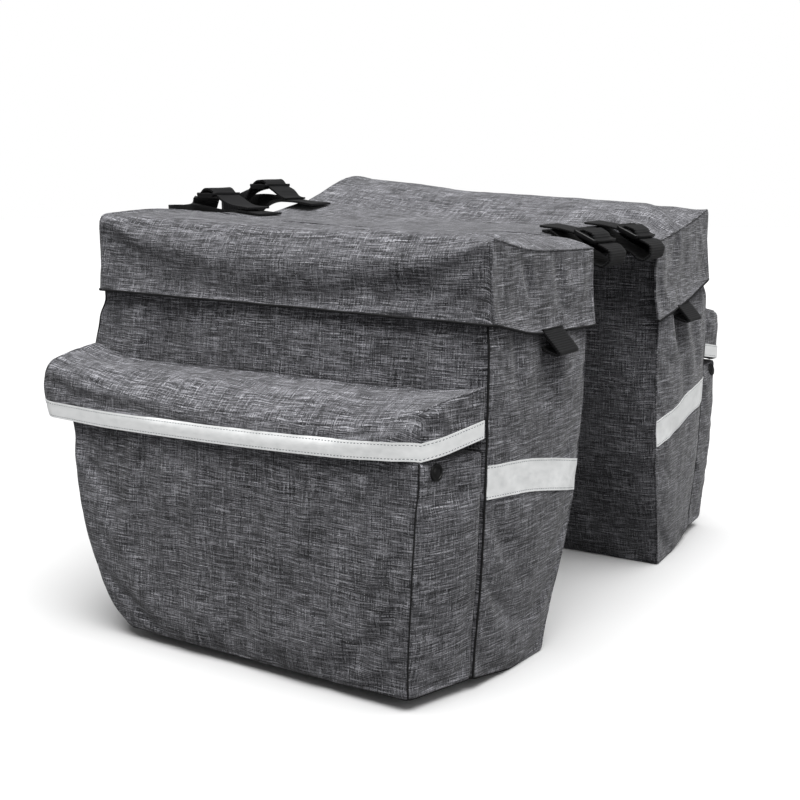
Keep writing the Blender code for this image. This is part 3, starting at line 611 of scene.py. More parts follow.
def stretched_noise(tree: Tree, place: Socket, size: Sequence[float],
                    detail: float = 2.0, shift: float = 0.0) -> Socket:
    """Noise drawn out along an axis.

    Args:
        tree: The material's tree.
        place: Where on the cloth, in millimetres.
        size: Length of the noise's grains on each axis, in millimetres.
        detail: Finer layers in it.
        shift: Place in the noise.

    Returns:
        The noise, about 0 to 1.
    """
    scaled = add_node(tree, "VectorMath", {0: place, 1: tuple(1.0 / s for s in size)}, operation="MULTIPLY")
    moved = add_node(tree, "VectorMath", {0: scaled.outputs[0], 1: (shift, shift, shift)}, operation="ADD")
    settings = {"Vector": moved.outputs[0], "Scale": 1.0, "Detail": detail, "Roughness": 0.6}
    return add_node(tree, "TexNoise", settings).outputs["Fac"]


@dataclass(frozen=True)
class MelangeCloth:
    """Two-tone woven polyester, 600 denier, charcoal with light and dark slub yarns."""

    name: str = "woven_melange_polyester"
    deep: str = "#161618"
    dark: str = "#3c3c3f"
    middle: str = "#68686c"
    light: str = "#aaaab0"
    bright: str = "#e6e6ec"
    yarn: float = 0.55
    slub: float = 15.0
    roughness: float = 0.88

    def dress(self) -> bpy.types.Material:
        """Make the material. Short bright and dark streaks cross both ways, as linen does; near its seams the
        cloth is darkened as painted shade.

        Returns:
            The material.
        """
        material, tree, shader = new_material(self.name)
        place = weave_place(tree)
        wander = add_node(tree, "TexNoise", {"Vector": place, "Scale": 0.03, "Detail": 2.0})
        drift = add_node(tree, "VectorMath", {0: wander.outputs["Color"], 1: (0.5, 0.5, 0.5)},
                         operation="SUBTRACT")
        drift = add_node(tree, "VectorMath", {0: drift.outputs[0], "Scale": 2.6}, operation="SCALE")
        place = add_node(tree, "VectorMath", {0: place, 1: drift.outputs[0]}, operation="ADD").outputs[0]
        weft = stretched_noise(tree, place, (self.slub, self.yarn, 1.0), 3.0)
        warp = stretched_noise(tree, place, (self.yarn, self.slub * 0.8, 1.0), 3.0, 31.0)
        long_weft = stretched_noise(tree, place, (self.slub * 2.6, self.yarn * 1.4, 1.0), 1.0, 57.0)
        long_warp = stretched_noise(tree, place, (self.yarn * 1.4, self.slub * 2.2, 1.0), 1.0, 83.0)
        over = stretched_noise(tree, place, (self.yarn * 1.8, self.yarn * 1.8, 1.0), 1.0, 11.0)
        over = add_node(tree, "MapRange", {"Value": over, "From Min": 0.43, "From Max": 0.65}).outputs[0]
        tone = add_node(tree, "Mix", {0: over, 2: weft, 3: warp}, data_type="FLOAT").outputs[0]
        slubs = add_node(tree, "Mix", {0: over, 2: long_weft, 3: long_warp}, data_type="FLOAT").outputs[0]
        tone = add_math(tree, "ADD", add_math(tree, "MULTIPLY", tone, 0.72),
                        add_math(tree, "MULTIPLY", slubs, 0.28))
        cloud = stretched_noise(tree, place, (38.0, 30.0, 1.0), 2.0, 5.0)
        tone = add_math(tree, "ADD", tone,
                        add_math(tree, "MULTIPLY", add_math(tree, "SUBTRACT", cloud, 0.5), 0.06))
        colour = add_ramp(tree, tone, ((0.38, self.deep), (0.455, self.dark), (0.515, self.middle),
                                       (0.585, self.light), (0.67, self.bright)))
        # Painted shade: within 1.6 mm of a seam the colour is multiplied down to 0.35, standing for the shade
        # in the seam's groove.
        edge = add_node(tree, "Attribute", {}, attribute_name=EDGE, attribute_type="GEOMETRY").outputs["Fac"]
        shadow = add_node(tree, "MapRange", {"Value": edge, "From Min": 0.0002, "From Max": 0.0016,
                                             "To Min": 0.35, "To Max": 1.0}).outputs[0]
        colour = add_node(tree, "Mix", {0: 1.0, 6: colour, 7: shadow}, data_type="RGBA",
                          blend_type="MULTIPLY").outputs[2]
        tree.links.new(colour, shader.inputs["Base Color"])
        shader.inputs["Roughness"].default_value = self.roughness
        shader.inputs["Sheen Weight"].default_value = 0.25
        shader.inputs["Sheen Roughness"].default_value = 0.5
        shader.inputs["Specular IOR Level"].default_value = 0.25
        add_bump(tree, shader, tone, 0.55, 0.35 * MM)
        return material


@dataclass(frozen=True)
class ReflectiveTape:
    """Retroreflective fabric tape: glass beads on cloth send the light back, a flat silver-white; here that
    returned light is a painted glow, as the tape emits its own colour.
    """

    name: str = "retroreflective_fabric_tape"
    pale: str = "#f4f5f5"
    worn: str = "#e2e4e4"
    stitch: str = "#8f9294"
    width: float = 0.012
    roughness: float = 0.55
    painted_glow: float = 0.25

    def dress(self) -> bpy.types.Material:
        """Make the material, with a run of stitches along both edges.

        Returns:
            The material.
        """
        material, tree, shader = new_material(self.name + f"_{self.width / MM:.0f}mm")
        place = weave_place(tree)
        split = add_node(tree, "SeparateXYZ", {0: place})
        mottled = stretched_noise(tree, place, (6.0, 4.0, 1.0), 3.0)
        colour = add_ramp(tree, mottled, ((0.30, self.worn), (0.62, self.pale)))
        from_edge = add_math(tree, "PINGPONG", split.outputs["Y"], self.width / MM / 2)
        near = add_math(tree, "COMPARE", from_edge, 1.5)
        tree.nodes[-1].inputs[2].default_value = 0.32
        dash = add_math(tree, "FRACT", add_math(tree, "DIVIDE", split.outputs["X"], 2.6))
        dash = add_math(tree, "LESS_THAN", dash, 0.55)
        thread = add_math(tree, "MULTIPLY", near, dash)
        sewn = add_node(tree, "Mix", {0: thread, 6: colour, 7: linear(self.stitch)}, data_type="RGBA")
        colour = sewn.outputs[2]
        tree.links.new(colour, shader.inputs["Base Color"])
        # Painted light: the tape emits its own colour, so it glows without a lamp.
        tree.links.new(colour, shader.inputs["Emission Color"])
        shader.inputs["Emission Strength"].default_value = self.painted_glow
        shader.inputs["Roughness"].default_value = self.roughness
        grain = stretched_noise(tree, place, (0.9, 0.9, 1.0), 2.0, 4.0)
        dent = add_math(tree, "SUBTRACT", add_math(tree, "MULTIPLY", grain, 0.3),
                        add_math(tree, "MULTIPLY", near, 0.6))
        add_bump(tree, shader, dent, 0.5, 0.3 * MM)
        return material


@dataclass(frozen=True)
class RibbedWebbing:
    """Black polypropylene webbing: round weft ribs run across it; their crowns are painted lighter and their
    grooves darker, as painted highlight and shade.
    """

    name: str = "ribbed_polypropylene_webbing"
    deep: str = "#050506"
    crown: str = "#1b1b1d"
    rib: float = 1.9
    roughness: float = 0.55

    def dress(self) -> bpy.types.Material:
        """Make the material.

        Returns:
            The material.
        """
        material, tree, shader = new_material(self.name)
        place = weave_place(tree)
        split = add_node(tree, "SeparateXYZ", {0: place})
        turn = add_math(tree, "MULTIPLY", split.outputs["X"], math.tau / self.rib)
        rib = add_math(tree, "MULTIPLY", add_math(tree, "ADD", add_math(tree, "SINE", turn), 1.0), 0.5)
        fibre = stretched_noise(tree, place, (0.5, 3.0, 1.0), 2.0)
        mottled = add_math(tree, "ADD", add_math(tree, "MULTIPLY", rib, 0.75),
                           add_math(tree, "MULTIPLY", fibre, 0.25))
        # Painted highlight and shade: rib crowns take the lighter colour and grooves the darker one, with a
        # real fibre mottle mixed in.
        colour = add_ramp(tree, mottled, ((0.15, self.deep), (0.90, self.crown)))
        tree.links.new(colour, shader.inputs["Base Color"])
        shader.inputs["Roughness"].default_value = self.roughness
        shader.inputs["Specular IOR Level"].default_value = 0.25
        shader.inputs["Sheen Weight"].default_value = 0.08
        add_bump(tree, shader, mottled, 0.8, 0.5 * MM)
        return material


@dataclass(frozen=True)
class MouldedAcetal:
    """Black acetal, injection moulded with a fine spark-eroded grain."""

    name: str = "moulded_black_acetal"
    dark: str = "#0a0a0b"
    worn: str = "#131315"
    roughness: float = 0.38

    def dress(self) -> bpy.types.Material:
        """Make the material.

        Returns:
            The material.
        """
        material, tree, shader = new_material(self.name)
        spot = add_node(tree, "TexCoord", {}).outputs["Object"]
        place = add_node(tree, "VectorMath", {0: spot, "Scale": 1000.0}, operation="SCALE").outputs[0]
        grain = stretched_noise(tree, place, (0.5, 0.5, 0.5), 3.0)
        scuffs = stretched_noise(tree, place, (7.0, 7.0, 7.0), 2.0, 3.0)
        colour = add_ramp(tree, scuffs, ((0.35, self.dark), (0.75, self.worn)))
        tree.links.new(colour, shader.inputs["Base Color"])
        reach = {"Value": scuffs, "To Min": self.roughness - 0.06, "To Max": self.roughness + 0.10}
        tree.links.new(add_node(tree, "MapRange", reach).outputs[0], shader.inputs["Roughness"])
        add_bump(tree, shader, grain, 0.25, 0.1 * MM)
        return material


@dataclass(frozen=True)
class SeamShadowCord:
    """Painted shade: a near-black cord laid in a seam's groove or under a hem, where the cloth is in shade.
    """

    name: str = "painted_seam_shadow"
    dark: str = "#0d0d0e"
    light: str = "#1d1d1f"

    def dress(self) -> bpy.types.Material:
        """Make the material.

        Returns:
            The material.
        """
        material, tree, shader = new_material(self.name)
        spot = add_node(tree, "TexCoord", {}).outputs["Object"]
        place = add_node(tree, "VectorMath", {0: spot, "Scale": 1000.0}, operation="SCALE").outputs[0]
        twist = stretched_noise(tree, place, (0.8, 0.8, 0.8), 2.0)
        colour = add_ramp(tree, twist, ((0.35, self.dark), (0.70, self.light)))
        tree.links.new(colour, shader.inputs["Base Color"])
        shader.inputs["Roughness"].default_value = 0.8
        add_bump(tree, shader, twist, 0.5, 0.3 * MM)
        return material


def new_material(name: str) -> tuple:
    """Start a material and return it with its tree and its shader."""
    material = bpy.data.materials.new(name)
    material.use_nodes = True
    tree = material.node_tree
    return material, tree, tree.nodes["Principled BSDF"]


def weave_place(tree: Tree) -> Socket:
    """Place on the piece's weave map, in millimetres."""
    spot = add_node(tree, "UVMap", {}, uv_map=WEAVE).outputs["UV"]
    return add_node(tree, "VectorMath", {0: spot, "Scale": 1000.0}, operation="SCALE").outputs[0]


def add_bump(tree: Tree, shader: bpy.types.Node, height: Socket,
             strength: float, distance: float) -> None:
    """Raise the shader's surface by a height pattern."""
    bump = add_node(tree, "Bump", {"Height": height, "Strength": strength, "Distance": distance})
    tree.links.new(bump.outputs["Normal"], shader.inputs["Normal"])


class Wardrobe:
    """All finishes, made once and given to the pieces."""

    def __init__(self) -> None:
        """Make the materials."""
        self.cloth = MelangeCloth().dress()
        self.narrow_tape = ReflectiveTape(width=0.012).dress()
        self.wide_tape = ReflectiveTape(width=0.023).dress()
        self.webbing = RibbedWebbing().dress()
        self.plastic = MouldedAcetal().dress()
        # Painted shade for the seam grooves and the lid's hem
        self.seam = SeamShadowCord().dress()


def hand_over(piece: Piece, material: bpy.types.Material,
              nodes: Sequence[str] = ()) -> None:
    """Give a finished piece its material and tie it to the frame.

    Args:
        piece: The piece.
        material: Its finish.
        nodes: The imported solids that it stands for.
    """
    piece.data.materials.clear()
    piece.data.materials.append(material)
    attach(piece, ROOT)
    if nodes:
        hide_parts(*nodes)
    LOG.info("%s: %d faces", piece.name, len(piece.data.polygons))


# Sewn parts of one bag


@dataclass
class BagForm:
    """Sizes and surfaces of one bag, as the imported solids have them."""

    side: Side
    mouth: float = 0.278
    heel_slant: float = 0.042
    rear_slant: float = 0.009
    inner_lean: float = 0.050
    outer_belly: float = 0.009
    body_corner: float = 0.0035
    rear_turn: float = 0.007
    corner_fade: float = 0.050
    bottom_rise: float = 0.008
    rise_fade: float = 0.30
    crest: float = 0.57
    edge_radius: float = 0.030
    skirt_front: float = 0.0285
    skirt_rear: float = 0.034
    root_inset: float = 0.0018
    pocket_depth: float = 0.053
    pocket_height: float = 0.160
    pocket_lift: float = 0.0075
    pocket_inset: float = 0.016
    pocket_slant: float = 0.052
    pocket_belly: float = 0.005
    flap_sag: float = 0.030
    flap_overhang: float = 0.021
    flap_low_front: float = 0.1640
    flap_low_rear: float = 0.1690
    seat_gap: float = 0.0006

    @property
    def outer(self) -> float:
        """Distance of the bag's outer wall from the middle plane."""
        return LID_INNER + LID_WIDTH - TUCK

    @property
    def pocket_setback(self) -> float:
        """How far the pocket's rear face edge stands ahead of the bag's rear side."""
        return 0.0165 if self.side is Side.NEAR else 0.002

    @property
    def flap_top(self) -> float:
        """Height of the flap's seat at its two ends; the far flap is stuffed fuller."""
        return 0.211 if self.side is Side.NEAR else 0.223

    @property
    def corner_pull(self) -> float:
        """How much of the belly the corner seams pull in."""
        return 1.0 if self.side is Side.NEAR else 0.15

    def walls(self, height: np.ndarray) -> tuple:
        """Front, rear, inner and outer wall of the main bag at a height."""
        share = height / self.mouth
        loose = (1.0 - BODY_CURVES.read("under", share)) * TUCK
        return (FRONT + TUCK - loose + BODY_CURVES.read("front", share) * self.heel_slant,
                REAR - TUCK + loose - BODY_CURVES.read("rear", share) * self.rear_slant,
                LID_INNER + 0.003 + BODY_CURVES.read("inner", share) * self.inner_lean,
                self.outer + loose + BODY_CURVES.read("outer", share) * self.outer_belly)

    def outer_at(self, x: np.ndarray, height: np.ndarray) -> np.ndarray:
        """Outer wall at a place along the bag; its belly dies out towards both ends."""
        front, rear, _, outer = self.walls(height)
        belly = BODY_CURVES.read("outer", height / self.mouth) * self.outer_belly
        near = np.clip(np.minimum(x - front, rear - x) / self.corner_fade, 0.0, 1.0)
        return outer - self.corner_pull * belly * (1.0 - near ** 2 * (3.0 - 2.0 * near))

    def lid_top(self, along: np.ndarray, across: np.ndarray) -> np.ndarray:
        """Height of the lid's top."""
        inner, crest, outer = (LID_CURVES.read(f"{self.side.tag}_{name}", along)
                               for name in ("inner", "crest", "outer"))
        rise_in, rise_out = (crest - inner) / self.crest, (outer - crest) / (1 - self.crest)
        same = rise_in * rise_out > 0
        slope = np.where(same, 2 * rise_in * rise_out / np.where(same, rise_in + rise_out, 1.0), 0.0)
        first = across < self.crest
        span = np.where(first, self.crest, 1 - self.crest)
        share = np.where(first, across / self.crest, (across - self.crest) / (1 - self.crest))
        start, end = np.where(first, inner, crest), np.where(first, crest, outer)
        slope_in, slope_out = np.where(first, rise_in, slope), np.where(first, slope, rise_out)
        square, cube = share ** 2, share ** 3
        lift = ((2 * cube - 3 * square + 1) * start + (cube - 2 * square + share) * slope_in * span
                + (3 * square - 2 * cube) * end + (cube - square) * slope_out * span)
        return CARRIER_HEIGHT + LID_LIFT * lift

    def skirt_low(self, along: np.ndarray) -> np.ndarray:
        """Height of the lid skirt's lower edge."""
        return CARRIER_HEIGHT - mix(self.skirt_front, self.skirt_rear, along)

    def rear_hem(self, out: float) -> float:
        """Height of the lid's hem across its rear skirt."""
        across = np.array([(out - LID_INNER) / LID_WIDTH, 1.0])
        top = self.lid_top(np.ones(2), across)
        return float(top[0] - top[1] + self.skirt_low(1.0))

    def flap_top_at(self, along: np.ndarray, across: np.ndarray) -> np.ndarray:
        """Height of the flap's top."""
        sag = mix(FLAP_CURVES.read("inner", along), FLAP_CURVES.read("outer", along), across)
        puff = FLAP_CURVES.read("puff", along) * np.sin(np.pi * across)
        return self.flap_top - self.flap_sag * (sag - puff)

    def flap_low(self, along: np.ndarray) -> np.ndarray:
        """Height of the flap skirt's lower edge."""
        return mix(self.flap_low_front, self.flap_low_rear, along) - FLAP_CURVES.read("hem", along)

    def place(self, x: np.ndarray, out: np.ndarray, z: np.ndarray) -> np.ndarray:
        """Turn design places into places in the frame."""
        return np.stack([x + OFFSET_X, out * self.side.value, z], axis=1)


class SoftPiece:
    """Cloth piece of one bag: cut from a block, stuffed, creased and corded along its seams."""

    part: str
    cell: float
    size: tuple[float, float, float]
    seams: tuple[tuple[Panel, Panel], ...]
    filling: Filling
    broad: Waves
    fine: Waves
    folds: Mapping[Side, tuple[Crease, ...]]
    smooth_angle = 60.0

    def __init__(self, form: BagForm) -> None:
        """Keep the form that the piece follows."""
        self.form = form

    def cut(self, cuts: Sequence[np.ndarray], open_panels: Sequence[Panel] = ()) -> tuple:
        """Cut the piece's block and shape it.

        Args:
            cuts: Cut places along X, Y and Z.
            open_panels: The sides that are left out, on a piece with a hem.

        Returns:
            The piece, its places in the uncut block and their distances from a seam.
        """
        piece, block = cut_block(f"soft_{self.part}_{self.form.side.tag}", cuts, open_panels)
        move_points(piece, self.shape(block))
        if self.form.side is Side.NEAR:
            flip(piece)
        weave_map(piece, block, self.size, rolled=bool(open_panels))
        edge = seam_distance(block, self.size, self.seams)
        note_on(piece, EDGE, edge)
        return piece, block, edge

    def stuff(self, piece: Piece, held: np.ndarray) -> None:
        """Fill the piece where nothing holds it, smooth it and press its folds.

        Args:
            piece: The piece.
            held: Which vertices are held in place.
        """
        side = self.form.side
        self.broad.raise_on(piece, side)
        self.filling.settle(piece, held.astype(float))
        apply_modifier(piece, "SUBSURF", levels=1, render_levels=1)
        for fold in self.folds[side]:
            fold.press(piece, side)
        self.fine.raise_on(piece, side)

    def cord(self, piece: Piece, finish: bpy.types.Material, name: str, radius: float,
             near: Optional[Test] = None, note: str = EDGE) -> Piece:
        """Lay a cord along the piece's edges, as piping does, and dress it.

        Args:
            piece: The piece.
            finish: The cord's finish.
            name: Its name, without the side.
            radius: Its radius.
            near: Test that a vertex place must pass, or none.
            note: Which distance is nothing where the cord runs.

        Returns:
            The cord.
        """
        cord = piping(piece, f"{name}_{self.form.side.tag}", radius, near, note)
        hand_over(cord, finish)
        return cord


class SoftBag(SoftPiece):
    """Main bag: an upright sack of four panels on a bottom, sewn along its corners."""

    part = "bag"
    cell = 0.0055
    seams = ((Panel.REAR, Panel.OUTER), (Panel.REAR, Panel.INNER), (Panel.FRONT, Panel.OUTER),
             (Panel.FRONT, Panel.INNER), (Panel.BOTTOM, Panel.REAR), (Panel.BOTTOM, Panel.FRONT),
             (Panel.BOTTOM, Panel.OUTER), (Panel.BOTTOM, Panel.INNER))
    filling = Filling(pressure=1.2, slack=0.016, reach=0.0045)
    broad = Waves(0.0016, (0.05, 0.05, 0.09), 3.1, 0.02)
    fine = Waves(0.0007, (0.013, 0.013, 0.030), 9.0, 0.008)
    folds = {
        Side.NEAR: (Crease((0.1745, 0.175, 0.250), (0.1735, 0.170, 0.205), 0.006, 0.0012),
                    Crease((0.1745, 0.118, 0.235), (0.1735, 0.128, 0.170), 0.009, 0.0014),
                    Crease((0.1710, 0.150, 0.060), (0.1735, 0.196, 0.110), 0.010, 0.0012)),
        Side.FAR: (Crease((0.1745, 0.105, 0.245), (0.1735, 0.150, 0.150), 0.014, 0.0035),
                   Crease((0.1745, 0.150, 0.235), (0.1735, 0.185, 0.165), 0.011, 0.0025)),
    }
    swell = 0.006
    swell_height = 0.030
    cord_top = 0.262
    cord_middle = 0.150

    def __init__(self, form: BagForm) -> None:
        """Keep the form that the bag follows."""
        super().__init__(form)
        self.size = (LID_LENGTH, LID_WIDTH, form.mouth)

    def shape(self, block: np.ndarray) -> np.ndarray:
        """Carry places on the uncut block to the bag's walls."""
        form = self.form
        size = np.array(self.size)
        radius = form.body_corner
        near = rounded(block, size, (np.array(radius), np.array(radius), np.array(radius)))
        u, s, w = (near / size).T
        height = w * form.mouth
        front, rear, inner, _ = form.walls(height)
        fade = np.clip(1.0 - height / (form.rise_fade * form.mouth), 0.0, 1.0)
        lift = form.bottom_rise * np.clip(2 * s - 1, 0.0, 1.0) * fade
        x = mix(front, rear, u)
        out = mix(inner, form.outer_at(x, height), s)
        return form.place(x + form.rear_turn * (1.0 - s) * u, out, height + lift)

    def tuck(self, piece: Piece) -> None:
        """Keep the outer wall's top inside the lid's skirt, and let it swell out below the hem."""
        form = self.form
        places = points_of(piece)
        below = form.skirt_low(1.0) - places[:, 2]
        limit = form.outer_at(places[:, 0] - OFFSET_X, places[:, 2])
        limit = limit + self.swell * np.clip(below / self.swell_height, 0.0, 1.0)
        places[:, 1] = form.side.value * np.minimum(places[:, 1] * form.side.value, limit)
        move_points(piece, places)

    def build(self, wardrobe: Wardrobe) -> Piece:
        """Build and dress the bag.

        Args:
            wardrobe: The finishes.

        Returns:
            The piece.
        """
        piece, block, edge = self.cut([stops(length, self.cell) for length in self.size])
        self.stuff(piece, (edge < TOUCH) | (block[:, 2] > self.form.mouth - 0.02) | (block[:, 2] < TOUCH))
        self.tuck(piece)
        sit_on_floor(piece)
        shade(piece, self.smooth_angle)
        self.cord(piece, wardrobe.cloth, "bag_piping", 0.0008,
                  lambda spots: (spots[:, 2] < self.cord_top) & (np.abs(spots[:, 1]) < self.cord_middle))
        # Painted shade: a dark cord along the outer seams stands for the shade in their grooves.
        self.cord(piece, wardrobe.seam, "bag_seam", 0.0008,
                  lambda spots: (spots[:, 2] < self.cord_top) & (np.abs(spots[:, 1]) >= self.cord_middle))
        hand_over(piece, wardrobe.cloth, ["bag_" + self.form.side.tag])
        return piece


class SoftLid(SoftPiece):
    """Box lid: a crowned top whose cloth rolls over into the outer skirt, with sewn end skirts."""

    part = "lid"
    cell = 0.0042
    skirt_cell = 0.0038
    nominal = 0.050
    flare = 0.0030
    flare_height = 0.036
    seams = ((Panel.REAR, Panel.TOP), (Panel.REAR, Panel.OUTER), (Panel.FRONT, Panel.TOP),
             (Panel.FRONT, Panel.OUTER))
    filling = Filling(pressure=0.5, slack=0.012, reach=0.0024)
    broad = Waves(0.0016, (0.06, 0.05, 0.03), 13.0, 0.012)
    fine = Waves(0.0007, (0.022, 0.013, 0.013), 19.0, 0.008)
    folds = {
        Side.NEAR: (Crease((0.1745, 0.164, 0.288), (0.1745, 0.152, 0.260), 0.006, 0.0026),
                    Crease((0.140, 0.186, 0.308), (0.164, 0.166, 0.300), 0.009, 0.0022),
                    Crease((0.1745, 0.120, 0.285), (0.1745, 0.112, 0.262), 0.008, 0.0016),
                    Crease((0.095, 0.120, 0.305), (0.165, 0.100, 0.296), 0.013, 0.0030),
                    Crease((-0.110, 0.080, 0.306), (0.060, 0.085, 0.303), 0.016, 0.0018),
                    Crease((0.060, 0.209, 0.275), (0.165, 0.209, 0.262), 0.012, 0.0018)),
        Side.FAR: (Crease((0.120, 0.110, 0.314), (0.172, 0.098, 0.290), 0.010, 0.0040),
                   Crease((0.1745, 0.118, 0.296), (0.1745, 0.100, 0.262), 0.008, 0.0030),
                   Crease((0.130, 0.190, 0.322), (0.172, 0.130, 0.304), 0.010, 0.0030),
                   Crease((-0.100, 0.090, 0.325), (0.050, 0.082, 0.306), 0.016, 0.0025)),
    }
    wall = 0.0016
    cord_drop = (0.0, 0.0, 0.0006)

    def __init__(self, form: BagForm) -> None:
        """Keep the form that the lid follows."""
        super().__init__(form)
        self.size = (LID_LENGTH, LID_WIDTH, self.nominal)

    def shape(self, block: np.ndarray) -> np.ndarray:
        """Carry places on the uncut block to the lid's surfaces."""
        form = self.form
        u, s, w = (block / np.array(self.size)).T
        depth = form.lid_top(u, np.ones_like(u)) - form.skirt_low(u)
        places = np.stack([u * LID_LENGTH, s * LID_WIDTH, w * depth], axis=1)
        size = np.stack([np.full_like(u, LID_LENGTH), np.full_like(u, LID_WIDTH), depth], axis=1)
        edge = form.edge_radius * LID_CURVES.read("edge", u)
        near_edge = np.clip((places[:, 1] - (LID_WIDTH - edge)) / edge, 0.0, 1.0)
        radii = (np.array(0.003), np.where(s > 0.5, edge, 1e-6), mix(0.003, edge, near_edge))
        near = rounded(places, size, radii, hemmed=True)
        near[:, 1] = np.where(s < 1e-6, 0.0, near[:, 1])
        u, s = near[:, 0] / LID_LENGTH, near[:, 1] / LID_WIDTH
        z = form.lid_top(u, s) - (depth - near[:, 2])
        flare = self.flare * np.clip(1.0 - near[:, 2] / self.flare_height, 0.0, 1.0)
        x = FRONT + near[:, 0] + form.rear_turn * (1.0 - s) * u ** 2
        return form.place(x + flare * (u > 0.99), LID_INNER + near[:, 1] + flare * (s > 0.99), z)

    def build(self, wardrobe: Wardrobe) -> Piece:
        """Build and dress the lid.

        Args:
            wardrobe: The finishes.

        Returns:
            The piece.
        """
        cuts = [stops(LID_LENGTH, self.cell), stops(LID_WIDTH, self.cell),
                stops(self.nominal, self.skirt_cell)]
        piece, block, edge = self.cut(cuts, (Panel.BOTTOM, Panel.INNER))
        hem = block[:, 2] < TOUCH
        note_on(piece, HEM, np.where(hem, 0.0, 1.0))
        self.stuff(piece, (edge < TOUCH) | hem | (block[:, 1] < TOUCH))
        self.cord(piece, wardrobe.cloth, "lid_piping", 0.0008)
        # Painted shade: a dark cord just under the hem, dropped a little, stands for the shade beneath the
        # skirt's edge.
        hem_shadow = self.cord(piece, wardrobe.seam, "lid_hem", 0.0010, note=HEM)
        move_points(hem_shadow, points_of(hem_shadow) - self.cord_drop)
        apply_modifier(piece, "SOLIDIFY", thickness=self.wall, offset=-1.0, use_even_offset=True)
        shade(piece, self.smooth_angle)
        hand_over(piece, wardrobe.cloth, ["lid_" + self.form.side.tag])
        return piece


class SoftPocket(SoftPiece):
    """Outer pocket: a face panel with gussets at its ends and a bottom."""

    part = "pocket"
    cell = 0.0046
    length = 0.320
    corner = 0.006
    seams = ((Panel.REAR, Panel.OUTER), (Panel.FRONT, Panel.OUTER), (Panel.BOTTOM, Panel.OUTER),
             (Panel.REAR, Panel.BOTTOM), (Panel.FRONT, Panel.BOTTOM))
    filling = Filling(pressure=1.2, slack=0.018, reach=0.0040)
    broad = Waves(0.0014, (0.06, 0.05, 0.08), 23.0, 0.015)
    fine = Waves(0.0006, (0.018, 0.012, 0.030), 29.0, 0.008)
    # The first fold is where the stud pulls the gusset in
    folds = dict.fromkeys(Side, (Crease((0.150, 0.236, 0.157), (0.162, 0.226, 0.146), 0.006, 0.0020),
                                 Crease((0.147, 0.246, 0.158), (0.150, 0.244, 0.120), 0.006, 0.0014),
                                 Crease((0.140, 0.262, 0.050), (0.150, 0.235, 0.036), 0.008, 0.0014),
                                 Crease((-0.120, 0.262, 0.080), (-0.085, 0.262, 0.020), 0.012, 0.0012)))
    seam_start = 0.10

    def __init__(self, form: BagForm) -> None:
        """Keep the form that the pocket follows."""
        super().__init__(form)
        self.size = (self.length, form.pocket_depth, form.pocket_height)

    def walls(self, w: np.ndarray) -> tuple:
        """Front, rear at the bag, rear at the face, face and height at a share of the height."""
        form = self.form
        height = form.pocket_lift + w * form.pocket_height
        rear = form.walls(height)[1]
        front = FRONT + form.pocket_inset + POCKET_CURVES.read("front", w) * form.pocket_slant
        face = form.outer + TUCK + form.pocket_depth + POCKET_CURVES.read("belly", w) * form.pocket_belly
        return front, rear - form.root_inset, rear - form.pocket_setback - TUCK, face, height

    def shape(self, block: np.ndarray) -> np.ndarray:
        """Carry places on the uncut block to the pocket's walls."""
        size = np.array(self.size)
        across = np.where(block[:, 1] > size[1] / 2, self.corner, 1e-6)
        near = rounded(block, size, (np.array(self.corner), across, np.array(self.corner / 2)))
        u, s, w = (near / size).T
        front, rear_seat, rear_face, face, height = self.walls(w)
        x = mix(front, mix(rear_seat, rear_face, s), u)
        seat = self.form.outer_at(x, height) + self.form.seat_gap
        return self.form.place(x, mix(seat, face, s), height)

    def build(self, wardrobe: Wardrobe) -> Piece:
        """Build and dress the pocket.

        Args:
            wardrobe: The finishes.

        Returns:
            The piece.
        """
        piece, block, edge = self.cut([stops(length, self.cell) for length in self.size])
        mouth = block[:, 2] > self.form.pocket_height - TOUCH
        self.stuff(piece, (edge < TOUCH) | (block[:, 1] < TOUCH) | mouth)
        sit_on_floor(piece)
        shade(piece, self.smooth_angle)
        self.cord(piece, wardrobe.cloth, "pocket_piping", 0.0009, lambda spots: spots[:, 0] < self.seam_start)
        # Painted shade: a dark cord along the rear seams stands for the shade in their grooves.
        self.cord(piece, wardrobe.seam, "pocket_seam", 0.0005, lambda spots: spots[:, 0] >= self.seam_start)
        hand_over(piece, wardrobe.cloth, ["pocket_" + self.form.side.tag])
        return piece


